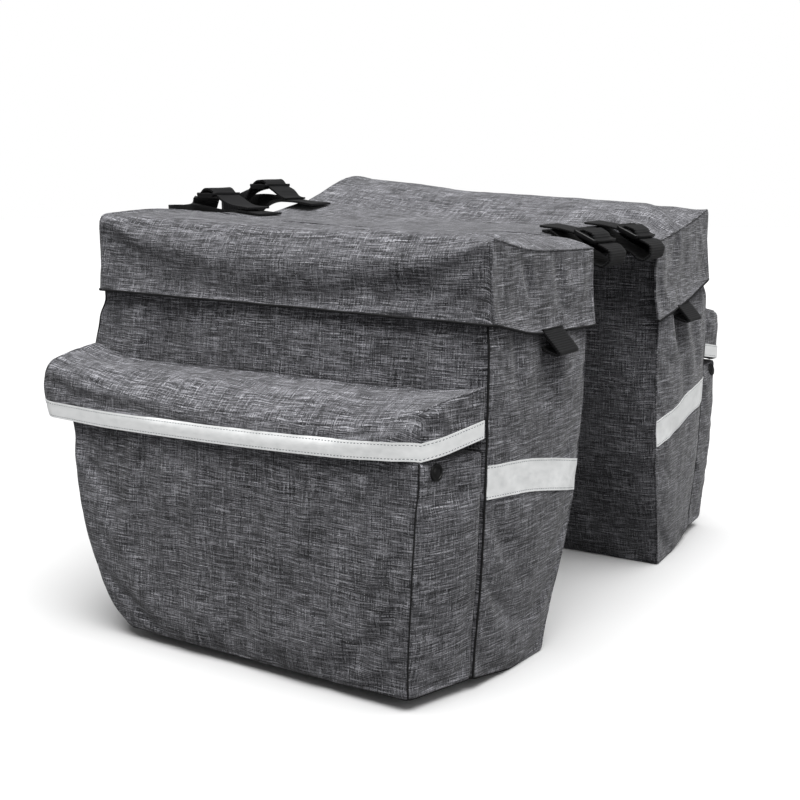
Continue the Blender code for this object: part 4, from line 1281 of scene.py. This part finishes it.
class SoftFlap(SoftPiece):
    """Pocket flap: a puffed, sloping top with a short skirt."""

    part = "flap"
    cell = 0.0040
    skirt_cell = 0.0036
    edge_cell = 0.0015
    nominal = 0.032
    tape_band = 0.013
    seams = ((Panel.REAR, Panel.TOP), (Panel.FRONT, Panel.TOP), (Panel.FRONT, Panel.OUTER))
    filling = Filling(pressure=0.8, slack=0.024, reach=0.0035)
    broad = Waves(0.0018, (0.045, 0.03, 0.02), 33.0, 0.010, 0.012)
    fine = Waves(0.0010, (0.020, 0.014, 0.012), 39.0, 0.006, 0.012)
    folds = dict.fromkeys(Side, (Crease((0.170, 0.216, 0.203), (0.138, 0.250, 0.190), 0.006, 0.0032),
                                 Crease((-0.170, 0.225, 0.211), (-0.120, 0.232, 0.200), 0.010, 0.0030),
                                 Crease((-0.060, 0.224, 0.194), (0.020, 0.232, 0.192), 0.010, 0.0014)))
    wall = 0.0016
    edge_radius = 0.008
    front_radius = 0.010
    end_radius = 0.028
    top_radius = 0.011
    bulge = 0.0055

    def __init__(self, form: BagForm) -> None:
        """Keep the form that the flap follows."""
        super().__init__(form)
        self.length = LID_LENGTH - form.pocket_inset + form.flap_overhang
        self.depth = form.pocket_depth + TUCK
        self.size = (self.length, self.depth, self.nominal)

    def shape(self, block: np.ndarray) -> np.ndarray:
        """Carry places on the uncut block to the flap's surfaces."""
        form = self.form
        u, s, w = (block / np.array(self.size)).T
        fall = form.flap_top_at(u, np.ones_like(u)) - form.flap_low(u)
        places = np.stack([u * self.length, s * self.depth, w * fall], axis=1)
        size = np.stack([np.full_like(u, self.length), np.full_like(u, self.depth), fall], axis=1)
        edge = self.edge_radius * FLAP_CURVES.read("edge", u)
        near_edge = np.clip((places[:, 1] - (self.depth - edge)) / edge, 0.0, 1.0)
        reach = mix(0.003, np.where(u > 0.5, self.end_radius, self.front_radius), s ** 2)
        over = mix(0.003, np.minimum(edge, self.top_radius), near_edge)
        radii = (reach, np.where(s > 0.5, edge, 1e-6), over)
        near = rounded(places, size, radii, hemmed=True)
        near[:, 1] = np.where(s < 1e-6, 0.0, near[:, 1])
        u, s = near[:, 0] / self.length, near[:, 1] / self.depth
        z = form.flap_top_at(u, s) - (fall - near[:, 2])
        rear = form.walls(z)[1]
        swell = self.bulge * np.sin(np.pi * np.clip(near[:, 2] / fall, 0.0, 1.0)) * np.clip(2.0 * s, 0.0, 1.0)
        front = FRONT + form.pocket_inset - form.flap_overhang - swell
        end = mix(rear - form.root_inset, rear - form.pocket_setback + TUCK, s)
        x = mix(front, end, u)
        face = form.outer + TUCK + form.pocket_depth + TUCK
        return form.place(x, mix(form.outer_at(x, z) + form.seat_gap, face, s), z)

    def build(self, wardrobe: Wardrobe) -> Piece:
        """Build and dress the flap.

        Args:
            wardrobe: The finishes.

        Returns:
            The piece.
        """
        cuts = [stops(self.length, self.cell), stops(self.depth, self.cell, self.edge_cell),
                stops(self.nominal, self.skirt_cell, self.edge_cell)]
        piece, block, edge = self.cut(cuts, (Panel.BOTTOM, Panel.INNER))
        note_on(piece, HEM, block[:, 2])
        self.stuff(piece, (edge < TOUCH) | (block[:, 2] < self.tape_band) | (block[:, 1] < TOUCH))
        self.tree = tree_of(piece)
        self.cord(piece, wardrobe.cloth, "flap_piping", 0.0007)
        apply_modifier(piece, "SOLIDIFY", thickness=self.wall, offset=-1.0, use_even_offset=True)
        shade(piece, self.smooth_angle)
        hand_over(piece, wardrobe.cloth, ["flap_" + self.form.side.tag])
        return piece


# Seams, tapes and webbing


def piping(piece: Piece, name: str, radius: float, near: Optional[Test] = None,
           note: str = EDGE) -> Piece:
    """Lay a thin cord along a cloth piece's sewn edges.

    Args:
        piece: The cloth piece, before its wall is thickened.
        name: The cord's name.
        radius: The cord's radius.
        near: Test that a vertex place must pass, or none.
        note: Which distance is nothing where the cord runs.

    Returns:
        The cord as a mesh.
    """
    cord = copied(piece, name)
    on_seam = read_note(cord, note) < 1e-5
    places = points_of(cord)
    if near is not None:
        on_seam &= near(places)
    in_edit_mode(cord)
    bpy.ops.object.mode_set(mode="OBJECT")
    for edge in cord.data.edges:
        edge.select = bool(on_seam[edge.vertices[0]] and on_seam[edge.vertices[1]])
    bpy.ops.object.mode_set(mode="EDIT")
    bpy.ops.mesh.select_all(action="INVERT")
    bpy.ops.mesh.delete(type="EDGE_FACE")
    bpy.ops.mesh.select_all(action="SELECT")
    bpy.ops.mesh.select_mode(type="VERT")
    bpy.ops.mesh.delete_loose(use_verts=True, use_edges=False, use_faces=False)
    bpy.ops.object.mode_set(mode="OBJECT")
    bpy.ops.object.convert(target="CURVE")
    cord.data.bevel_depth = radius
    cord.data.bevel_resolution = 1
    cord.data.use_fill_caps = True
    bpy.ops.object.convert(target="MESH")
    cord = bpy.context.object
    layer = cord.data.uv_layers.get(WEAVE) or cord.data.uv_layers.new(name=WEAVE)
    spots = points_of(cord)
    at = spots[[loop.vertex_index for loop in cord.data.loops]]
    layer.data.foreach_set("uv", np.stack([at[:, 0] + at[:, 1] * 0.3, at[:, 2]], axis=1).ravel())
    note_on(cord, EDGE, np.full(len(cord.data.vertices), 1.0))
    shade(cord, 80)
    return cord


def strip(name: str, rows: np.ndarray, thickness: float, offset: float = 1.0) -> Piece:
    """Make a strip of tape or webbing from rows of places.

    Args:
        name: The piece's name.
        rows: Places as an array of rows along it, each with the places across it.
        thickness: How thick it is.
        offset: 1 to thicken outwards, 0 to thicken both ways.

    Returns:
        The strip, with its weave map along and across it.
    """
    along, across = rows.shape[:2]
    bpy.ops.mesh.primitive_grid_add(x_subdivisions=along - 1, y_subdivisions=across - 1, size=1.0)
    piece = bpy.context.object
    piece.name = name
    unit = points_of(piece) + 0.5
    first = np.rint(unit[:, 0] * (along - 1)).astype(int)
    second = np.rint(unit[:, 1] * (across - 1)).astype(int)
    move_points(piece, rows[first, second])
    middle = rows[:, across // 2]
    run = np.concatenate(([0.0], np.cumsum(np.linalg.norm(np.diff(middle, axis=0), axis=1))))
    width = np.linalg.norm(np.diff(rows[along // 2], axis=0), axis=1)
    reach = np.concatenate(([0.0], np.cumsum(width)))
    layer = piece.data.uv_layers.get(WEAVE) or piece.data.uv_layers.new(name=WEAVE)
    corners = [loop.vertex_index for loop in piece.data.loops]
    layer.data.foreach_set("uv", np.stack([run[first[corners]], reach[second[corners]]], axis=1).ravel())
    apply_modifier(piece, "SOLIDIFY", thickness=thickness, offset=offset, use_even_offset=True)
    return piece


def smooth_route(points: Sequence[Sequence[float]], steps: int) -> np.ndarray:
    """Read more places from a smooth curve through the given ones.

    Args:
        points: The places, of any number of values each.
        steps: Places read between two given ones.

    Returns:
        The places along the curve.
    """
    given = np.asarray(points, float)
    route = []
    last = len(given) - 1
    for index in range(last):
        before, start = given[max(index - 1, 0)], given[index]
        end, after = given[index + 1], given[min(index + 2, last)]
        leave, arrive = (end - before) / 2, (after - start) / 2
        for step in range(steps):
            t = step / steps
            route.append((2 * t ** 3 - 3 * t ** 2 + 1) * start + (t ** 3 - 2 * t ** 2 + t) * leave
                         + (3 * t ** 2 - 2 * t ** 3) * end + (t ** 3 - t ** 2) * arrive)
    route.append(given[-1])
    return np.array(route)


def webbing(name: str, middles: np.ndarray, across: np.ndarray, wave: float = 0.0) -> Piece:
    """Make a webbing strap along a route.

    Args:
        name: The piece's name.
        middles: Places along its middle line.
        across: The direction of its width at each place.
        wave: Height of small waves along its edges.

    Returns:
        The strap.
    """
    rows = 9
    shares = np.linspace(-0.5, 0.5, rows)
    across = across / np.linalg.norm(across, axis=1, keepdims=True)
    grid = middles[:, None, :] + shares[None, :, None] * STRAP_WIDTH * across[:, None, :]
    ahead = np.gradient(middles, axis=0)
    up = np.cross(across, ahead)
    up /= np.maximum(np.linalg.norm(up, axis=1, keepdims=True), 1e-9)
    phase = np.arange(len(middles)) * 0.55
    lift = wave * np.sin(phase[:, None] + shares[None, :] * 2.0) * np.abs(shares[None, :] * 2) ** 2
    grid = grid + lift[:, :, None] * up[:, None, :]
    piece = strip(name, grid, WEBBING, 0.0)
    round_edges(piece, 0.0005, 2, 60)
    shade(piece, 50)
    return piece


@dataclass
class Tapes:
    """Reflective tapes of one bag: round the flap's hem and across the bag's rear side."""

    form: BagForm
    thickness: float = 0.0004
    lift: float = 0.0008
    flap_width: float = 0.012
    side_width: float = 0.023
    side_top: float = 0.157
    side_sag: float = 0.019
    sag_keys: tuple[float, ...] = (0.0, 0.3, 0.6, 1.0)
    sag_shares: tuple[float, ...] = (0.0, 0.10, 0.45, 1.0)

    def round_flap(self, maker: "SoftFlap", wardrobe: Wardrobe) -> None:
        """Lay the narrow tape on the flap's skirt, from its front end round to its rear end.

        Args:
            maker: The flap's maker, once it has built it.
            wardrobe: The finishes.
        """
        tree = maker.tree
        length, depth, _ = maker.size
        short, far = 14, 130
        around = [(0.0, depth * share) for share in np.linspace(0.03, 1.0, short)]
        around += [(length * share, depth) for share in np.linspace(0.0, 1.0, far)[1:]]
        around += [(length, depth * share) for share in np.linspace(1.0, 0.03, short)[1:]]
        levels = np.linspace(0.0, 1.0, 6)
        rows = []
        for x, y in around:
            low = np.array([[x, y, 0.0]] * len(levels))
            places = maker.shape(low)
            places[:, 2] += levels * self.flap_width
            rows.append(places)
        rows = np.array(rows)
        for _ in range(3):
            self.lay(rows, tree)
            rows[1:-1, :, :2] = (rows[:-2, :, :2] + 2 * rows[1:-1, :, :2] + rows[2:, :, :2]) / 4
        self.lay(rows, tree)
        if self.form.side is Side.FAR:
            rows = rows[:, ::-1]
        piece = strip("flap_tape_cloth_" + self.form.side.tag, rows, self.thickness)
        shade(piece, 50)
        hand_over(piece, wardrobe.narrow_tape, ["flap_tape_" + self.form.side.tag])

    def lay(self, rows: np.ndarray, tree: BVHTree) -> None:
        """Bring a tape's places to the cloth beneath it, each at its own height."""
        for row in rows:
            for place in row:
                spot, normal, _, _ = tree.find_nearest(Vector(place))
                place[0], place[1] = spot.x + normal.x * self.lift, spot.y + normal.y * self.lift

    def across_side(self, bag: Piece, wardrobe: Wardrobe) -> None:
        """Lay the wide tape across the bag's rear side.

        Args:
            bag: The finished bag.
            wardrobe: The finishes.
        """
        tree = tree_of(bag)
        form = self.form
        levels = np.linspace(0.0, 1.0, 10)
        shares = np.linspace(0.0, 1.0, 60)
        sag = np.interp(shares, self.sag_keys, self.sag_shares)
        for _ in range(30):
            sag[1:-1] = (sag[:-2] + sag[2:]) / 2
        rows = []
        for share, drop in zip(shares, sag):
            height = self.side_top - drop * self.side_sag - levels * self.side_width
            _, rear, inner, _ = form.walls(height)
            start, end = form.outer_at(rear, height) - form.body_corner * 0.5, inner + form.body_corner * 0.4
            out = mix(start, end, share)
            places = form.place(rear, out, height)
            laid = []
            for place in places:
                start = Vector((place[0] + 0.03, place[1], place[2]))
                spot, _, _, _ = tree.ray_cast(start, Vector((-1.0, 0.0, 0.0)))
                laid.append((spot.x if spot else place[0], place[1], place[2]))
            rows.append(laid)
        rows = np.array(rows)
        held = rows[:, :, 0].copy()
        for _ in range(12):
            rows[1:-1, :, 0] = (rows[:-2, :, 0] + rows[2:, :, 0]) / 2
            rows[:, :, 0] = np.maximum(rows[:, :, 0], held)
        rows[:, :, 0] += self.lift
        if form.side is Side.FAR:
            rows = rows[:, ::-1]
        piece = strip("side_tape_cloth_" + form.side.tag, rows, self.thickness)
        shade(piece, 50)
        hand_over(piece, wardrobe.wide_tape, ["side_tape_" + form.side.tag])


@dataclass
class LampLoop:
    """Flat webbing loop that hangs from under the lid's rear skirt."""

    form: BagForm
    out: float = 0.128
    drop: float = 0.0150
    reach: float = 0.0125
    folds: tuple[tuple[float, float], ...] = (
        (0.02, -0.10), (0.05, 0.06), (0.48, 0.45), (0.92, 0.86), (1.00, 0.96),
        (0.95, 1.02), (0.80, 1.03), (0.45, 0.96), (0.05, 0.84), (0.02, 0.70))

    def build(self, wardrobe: Wardrobe) -> None:
        """Build and dress the loop."""
        top = self.form.rear_hem(self.out) + 0.001
        _, rear, inner, outer = (float(wall) for wall in self.form.walls(np.array(top - self.drop)))
        rear += self.form.rear_turn * (outer - self.out) / (outer - inner) + OFFSET_X + 0.0003 + WEBBING / 2
        side = self.form.side
        points = [(rear + self.reach * out, side.value * self.out, top - self.drop * down)
                  for out, down in self.folds]
        route = smooth_route(points, 5)
        across = np.tile((0.0, 1.0, 0.0), (len(route), 1))
        piece = webbing("lamp_loop_" + side.tag, route, across)
        hand_over(piece, wardrobe.webbing, ["loop_" + side.tag])


@dataclass
class PressStud:
    """Press stud on the pocket's rear gusset: a moulded ring round a low dome."""

    form: BagForm
    radius: float = 0.0058
    share: float = 0.22
    below: float = 0.009
    thickness: float = 0.0012
    steps: tuple[tuple[float, float], ...] = (
        (0.0004, 0.0004), (0.0009, 0.0), (0.0004, -0.0006), (0.0009, 0.0002), (0.0005, 0.0005),
        (0.0014, 0.0003))

    def build(self, pocket: Piece, wardrobe: Wardrobe) -> None:
        """Build the stud and seat it on the cloth.

        Args:
            pocket: The finished pocket.
            wardrobe: The finishes.
        """
        form = self.form
        height = form.flap_low(1.0) - self.below
        _, rear, _, outer = form.walls(np.array(height))
        face = form.outer + TUCK + form.pocket_depth
        corner = np.array((rear - form.pocket_setback - TUCK, face - 0.006))
        root = np.array((rear - form.body_corner - TUCK, outer))
        x, out = mix(corner, root, self.share)
        guess = Vector((float(x) + OFFSET_X, float(out) * form.side.value, height))
        spot, normal, _, _ = tree_of(pocket).find_nearest(guess)
        normal = normal if normal.x > 0 else -normal
        bpy.ops.mesh.primitive_cylinder_add(vertices=40, radius=self.radius, depth=self.thickness,
                                            location=(0.0, 0.0, self.thickness / 2))
        piece = bpy.context.object
        piece.name = "press_stud_" + form.side.tag
        settle_place(piece)
        in_edit_mode(piece, "FACE")
        bpy.ops.object.mode_set(mode="OBJECT")
        for face in piece.data.polygons:
            face.select = face.normal.z > 0.9
        bpy.ops.object.mode_set(mode="EDIT")
        for inset, rise in self.steps:
            bpy.ops.mesh.inset(thickness=inset)
            bpy.ops.transform.translate(value=(0.0, 0.0, rise))
        bpy.ops.object.mode_set(mode="OBJECT")
        round_edges(piece, 0.0002, 2, 40)
        piece.rotation_euler = normal.to_track_quat("Z", "Y").to_euler()
        piece.location = spot - normal * 0.0004
        settle_place(piece)
        shade(piece, 40)
        hand_over(piece, wardrobe.plastic, ["snap_" + form.side.tag])


@dataclass
class LadderLock:
    """Moulded buckle: a flared frame with two slots and a middle bar."""

    name: str
    length: float = 0.022
    bar: float = 0.0048
    cheek: float = 0.0032
    height: float = 0.0040
    slot: float = 0.0045
    flare: float = 0.0016

    def build(self, middle: np.ndarray, pitch: float, wardrobe: Wardrobe) -> None:
        """Build the buckle over a strap.

        Args:
            middle: Place of its middle.
            pitch: How far its front is tipped up, in radians.
            wardrobe: The finishes.
        """
        half = self.length / 2
        width = STRAP_WIDTH + 0.0012 + 2 * self.cheek
        along = np.array([-half, -half + self.bar / 2, -half + self.bar, -half + self.bar + self.slot,
                          half - self.bar - self.slot, half - self.bar, half - self.bar / 2, half])
        inner = width / 2 - self.cheek
        across = np.array([-width / 2, -inner, -inner * 0.5, 0.0, inner * 0.5, inner, width / 2])
        piece, block = cut_block(self.name, [along, across, np.array([-0.5, 0.5]) * self.height])
        move_points(piece, block)
        start = half - self.bar
        for low, high in ((-start, -start + self.slot), (start - self.slot, start)):
            in_edit_mode(piece, "FACE")
            bpy.ops.object.mode_set(mode="OBJECT")
            for face in piece.data.polygons:
                centre = face.center
                face.select = low < centre.x < high and abs(centre.y) < inner and abs(face.normal.z) > 0.9
            bpy.ops.object.mode_set(mode="EDIT")
            bpy.ops.mesh.bridge_edge_loops()
            bpy.ops.object.mode_set(mode="OBJECT")
        self.mould(piece, half, width)
        round_edges(piece, 0.0007, 3, 50)
        piece.rotation_euler = (0.0, pitch, 0.0)
        piece.location = middle
        settle_place(piece)
        shade(piece, 45)
        hand_over(piece, wardrobe.plastic, [self.name.replace("lock", "buckle")])

    def mould(self, piece: Piece, half: float, width: float) -> None:
        """Tip the end bars up, thin their lips and round the frame's corners in plan."""
        places = points_of(piece)
        end = np.clip((np.abs(places[:, 0]) - (half - self.bar)) / self.bar, 0.0, 1.0)
        places[:, 2] = places[:, 2] * (1.0 - 0.35 * end) + self.flare * end ** 2
        corner = end * np.clip((np.abs(places[:, 1]) - width * 0.4) / (width * 0.1), 0.0, 1.0)
        places[:, 0] -= np.sign(places[:, 0]) * 0.0016 * corner
        centre = np.clip(1.0 - np.abs(places[:, 0]) / 0.004, 0.0, 1.0) * (np.abs(places[:, 1]) < width * 0.45)
        places[:, 2] += 0.0012 * centre
        move_points(piece, places)


@dataclass
class RearStrap:
    """Strap from the bridge round the carrier's rear tube and back through its buckle."""

    name: str
    out: float
    tube_radius: float = 0.0055
    clearance: float = 0.0008
    anchor_reach: float = 0.048
    tail_reach: float = 0.050
    setback: float = 0.034
    pitch: float = math.radians(25)
    wrap: tuple[float, float] = (-150.0, 75.0)
    down: tuple[tuple[float, float], ...] = ((3.30, 0.75), (1.80, 0.00))
    run_start: tuple[float, float] = (0.35, 1.15)
    run: float = 0.022
    hump: float = 0.0052
    humps: tuple[tuple[float, float], ...] = (
        (0.08, 0.0), (0.20, 0.35), (0.34, 0.95), (0.55, 1.00), (0.70, 0.80), (0.84, 0.10), (1.00, -0.15))

    def build(self, bridge: "Bridge", wardrobe: Wardrobe) -> None:
        """Build the strap and its buckle.

        Args:
            bridge: The cloth that the strap lies on.
            wardrobe: The finishes.
        """
        radius = self.tube_radius + self.clearance + WEBBING / 2
        edge = REAR - self.setback
        start = TUBE_X - self.anchor_reach
        route = [(x, bridge.lie_height(x, self.out)) for x in (start, mix(start, edge, 0.5), edge)]
        route += [(TUBE_X - radius * ahead, CARRIER_HEIGHT + radius * lift) for ahead, lift in self.down]
        turns = np.radians(np.linspace(*self.wrap, 10))
        route += [(TUBE_X + radius * math.cos(turn), CARRIER_HEIGHT + radius * math.sin(turn))
                  for turn in turns]
        foot = np.array((TUBE_X - radius * self.run_start[0], CARRIER_HEIGHT + radius * self.run_start[1]))
        ahead = np.array((-math.cos(self.pitch), math.sin(self.pitch)))
        up = np.array((math.sin(self.pitch), math.cos(self.pitch)))
        route += [tuple(foot + ahead * self.run * share + up * self.hump * lift)
                  for share, lift in self.humps]
        last = np.array(route[-1])
        tail_x = TUBE_X - self.tail_reach
        tail = bridge.lie_height(tail_x, self.out) + 2 * WEBBING
        route.append((mix(last[0], tail_x, 0.5), mix(last[1], tail, 0.65)))
        route.append((tail_x, tail))
        smooth = smooth_route(route, 5)
        middles = np.stack([smooth[:, 0] + OFFSET_X, np.full(len(smooth), self.out), smooth[:, 1]], axis=1)
        across = np.tile((0.0, 1.0, 0.0), (len(middles), 1))
        piece = webbing("webbing_" + self.name, middles, across, 0.0003)
        hand_over(piece, wardrobe.webbing, [self.name])
        seat = foot + ahead * self.run * 0.48 + up * 0.0010
        lock = LadderLock("lock_" + self.name)
        lock.build(np.array((seat[0] + OFFSET_X, self.out, seat[1])), self.pitch, wardrobe)


@dataclass
class FrontStrap:
    """Strap from the bridge round the carrier's front leg and back through its buckle."""

    side: Side
    reach: float = 0.074
    out: float = 0.037
    leg_radius: float = 0.0055
    clearance: float = 0.0008
    anchor: float = 0.036
    lid_end: float = 0.003
    leg_lift: float = -0.38
    half_turn: float = 110.0
    buckle_ahead: float = 0.32
    buckle_lift: float = 0.38
    away: tuple[tuple[float, ...], ...] = (
        (0.10, 0.0, -0.02, 0.00), (0.25, 0.2, -0.06, 0.15), (0.50, 0.5, -0.22, 0.55),
        (0.75, 0.8, -0.36, 0.95))
    back: tuple[tuple[float, ...], ...] = (
        (0.78, -0.7, -0.30, 0.95), (0.62, -0.5, 0.05, 0.45), (0.50, -0.1, 0.33, 0.05),
        (0.44, 0.0, 0.46, 0.00), (0.36, 0.0, 0.60, 0.00), (0.28, 0.0, 0.60, 0.00), (0.20, 0.0, 0.44, 0.00),
        (0.10, 0.0, 0.30, 0.00))
    tails: Mapping = field(default_factory=lambda: {Side.NEAR: (-0.08, -0.30), Side.FAR: (0.01, -0.09)})

    def build(self, bridge: "Bridge", wardrobe: Wardrobe) -> None:
        """Build the strap and its buckle.

        Args:
            bridge: The cloth that the strap is sewn to.
            wardrobe: The finishes.
        """
        sign = self.side.value
        leg = self.leg_radius + self.clearance + WEBBING / 2
        base = bridge.lie_height(FRONT + self.lid_end, sign * self.out)
        route = [(x, self.out, bridge.lie_height(x, sign * self.out), 0.0)
                 for x in (FRONT + self.anchor, FRONT + self.anchor / 2, FRONT + self.lid_end)]
        route += self.stretch(self.away, base, leg)
        turns = np.radians(np.linspace(self.half_turn, -self.half_turn, 10))
        route += [(FRONT - self.reach - leg * math.cos(turn), self.out + leg * math.sin(turn),
                   base + self.leg_lift * LID_LIFT, 1.0) for turn in turns]
        tail = [(ahead, 0.0, lift, 0.0) for ahead, lift in zip(self.tails[self.side], (0.12, 0.06))]
        route += self.stretch((*self.back, *tail), base, leg)
        smooth = smooth_route(route, 5)
        middles = np.stack([smooth[:, 0] + OFFSET_X, sign * smooth[:, 1], smooth[:, 2]], axis=1)
        turn = smooth[:, 3] * math.pi / 2
        across = np.stack([np.zeros_like(turn), sign * np.cos(turn), np.sin(turn)], axis=1)
        name = "front_strap_" + self.side.tag
        piece = webbing("webbing_" + name, middles, across, 0.0004)
        hand_over(piece, wardrobe.webbing, [name])
        seat = (FRONT - self.buckle_ahead * self.reach + OFFSET_X, sign * self.out,
                base + self.buckle_lift * LID_LIFT + 0.0012)
        LadderLock("lock_" + name).build(np.array(seat), 0.0, wardrobe)

    def stretch(self, steps: tuple, base: float, leg: float) -> list:
        """Places and rolls along a stretch, from its shares."""
        return [(FRONT - ahead * self.reach, self.out + side * leg, base + lift * LID_LIFT, roll)
                for ahead, side, lift, roll in steps]


@dataclass
class Bridge:
    """Cloth sheet sewn between the two lids, over the carrier."""

    front: float = FRONT + 0.003
    rear: float = REAR - 0.034
    half: float = LID_INNER - 0.0002
    wall: float = 0.0016
    wave: float = 0.0006
    seat_gap: float = 0.0003
    lid_end: float = 0.003

    def height(self, x: np.ndarray, across: np.ndarray) -> np.ndarray:
        """Height of the sheet's top at places along it and shares across it, -1 to 1."""
        along = (x - FRONT - self.lid_end) / (LID_LENGTH - 2 * self.lid_end)
        near, mid, far = (LID_CURVES.read(name, along) for name in ("near_inner", "mid", "far_inner"))
        edge = np.where(across < 0, near, far)
        share = np.abs(across)
        return CARRIER_HEIGHT + LID_LIFT * mix(mid, edge, share ** 2 * (3 - 2 * share) * 0.5 + share * 0.5)

    def lie_height(self, x: float, out: float) -> float:
        """Height of the middle of webbing that lies on the sheet."""
        edges = (out + np.array((-0.5, 0.0, 0.5)) * STRAP_WIDTH) / LID_INNER
        return float(np.max(self.height(np.full(3, x), edges))) + 0.0005 + WEBBING / 2

    def build(self, wardrobe: Wardrobe) -> Piece:
        """Build and dress the sheet.

        Args:
            wardrobe: The finishes.

        Returns:
            The piece.
        """
        xs, outs = np.linspace(self.front, self.rear, 90), np.linspace(-1.0, 1.0, 41)
        grid = np.empty((len(xs), len(outs), 3))
        grid[:, :, 0] = xs[:, None] + OFFSET_X
        grid[:, :, 1] = outs[None, :] * self.half
        wave = np.array([[noise.noise(Vector((x * 18, out * 2.2, 4.0))) for out in outs] for x in xs])
        waves = self.wave * wave * (1 - outs[None, :] ** 2)
        grid[:, :, 2] = self.height(xs[:, None], outs[None, :]) + waves - self.seat_gap
        piece = strip("bridge_cloth", grid, self.wall, -1.0)
        note_on(piece, EDGE, np.full(len(piece.data.vertices), 1.0))
        shade(piece, 50)
        hand_over(piece, wardrobe.cloth, ["bridge"])
        return piece


# Stage, camera and light


class Studio:
    """Pale floor, soft light and the camera at the photograph's angle."""

    azimuth = 32.65
    elevation = 10.54
    fill = 0.16
    lamps = (("overhead_light", (0.15, -0.15, 1.00), 55.0, 3.8),
             ("rear_light", (1.00, -0.25, 0.60), 50.0, 0.34))
    focal_pixels = 1210.45
    frame_pixels = 800
    sensor = 36.0

    def build(self) -> None:
        """Set up the stage, the lights and the camera."""
        bpy.ops.mesh.primitive_plane_add(size=14.0, location=(0.0, 0.0, -0.0003))
        floor = bpy.context.object
        floor.name = "floor"
        material, tree, shader = new_material("matt_white_paper_floor")
        seen = add_node(tree, "LightPath", {}).outputs["Is Camera Ray"]
        paper = add_node(tree, "Mix", {0: seen, 6: linear("#6c6c6c"), 7: linear("#f2f2f2")}, data_type="RGBA")
        tree.links.new(paper.outputs[2], shader.inputs["Base Color"])
        shader.inputs["Roughness"].default_value = 0.9
        floor.data.materials.append(material)
        world = bpy.context.scene.world or bpy.data.worlds.new("studio")
        bpy.context.scene.world = world
        world.use_nodes = True
        tree = world.node_tree
        backdrop = tree.nodes["Background"]
        backdrop.inputs["Color"].default_value = linear("#ffffff")
        seen = add_node(tree, "LightPath", {}).outputs["Is Camera Ray"]
        strength = add_node(tree, "MapRange", {"Value": seen, "To Min": self.fill, "To Max": 1.0}).outputs[0]
        tree.links.new(strength, backdrop.inputs["Strength"])
        bpy.context.scene.view_settings.view_transform = "Standard"
        for lamp in self.lamps:
            self.lamp(*lamp)
        self.camera()

    def lamp(self, name: str, place: tuple, spread: float, power: float) -> None:
        """Add a wide, soft light that shines from a direction."""
        bpy.ops.object.light_add(type="SUN", location=place)
        lamp = bpy.context.object
        lamp.name = name
        lamp.data.angle = math.radians(spread)
        lamp.data.energy = power
        lamp.rotation_euler = (-Vector(place)).to_track_quat("-Z", "Y").to_euler()

    def camera(self) -> None:
        """Add the camera where the photograph was taken from."""
        bpy.ops.object.camera_add(location=(TUBE_X + OFFSET_X + 0.3576, -0.8813, 0.343))
        camera = bpy.context.object
        camera.name = "photograph_camera"
        camera.rotation_euler = (math.radians(90 - self.elevation), 0.0, math.radians(self.azimuth))
        camera.data.sensor_width = self.sensor
        camera.data.lens = self.focal_pixels / self.frame_pixels * self.sensor
        camera.data.clip_start = 0.01
        bpy.context.scene.camera = camera


def main() -> None:
    """Build every piece in order."""
    logging.basicConfig(level=logging.INFO, format="%(name)s %(message)s")
    wardrobe = Wardrobe()
    Studio().build()
    bridge = Bridge()
    for side in Side:
        form = BagForm(side)
        bag = SoftBag(form).build(wardrobe)
        pocket = SoftPocket(form).build(wardrobe)
        flap_maker = SoftFlap(form)
        flap_maker.build(wardrobe)
        SoftLid(form).build(wardrobe)
        tapes = Tapes(form)
        tapes.across_side(bag, wardrobe)
        tapes.round_flap(flap_maker, wardrobe)
        LampLoop(form).build(wardrobe)
        PressStud(form).build(pocket, wardrobe)
        FrontStrap(side).build(bridge, wardrobe)
    bridge.build(wardrobe)
    RearStrap("rear_strap_near", -0.036).build(bridge, wardrobe)
    RearStrap("rear_strap_far", 0.045).build(bridge, wardrobe)


if __name__ == "__main__":
    main()
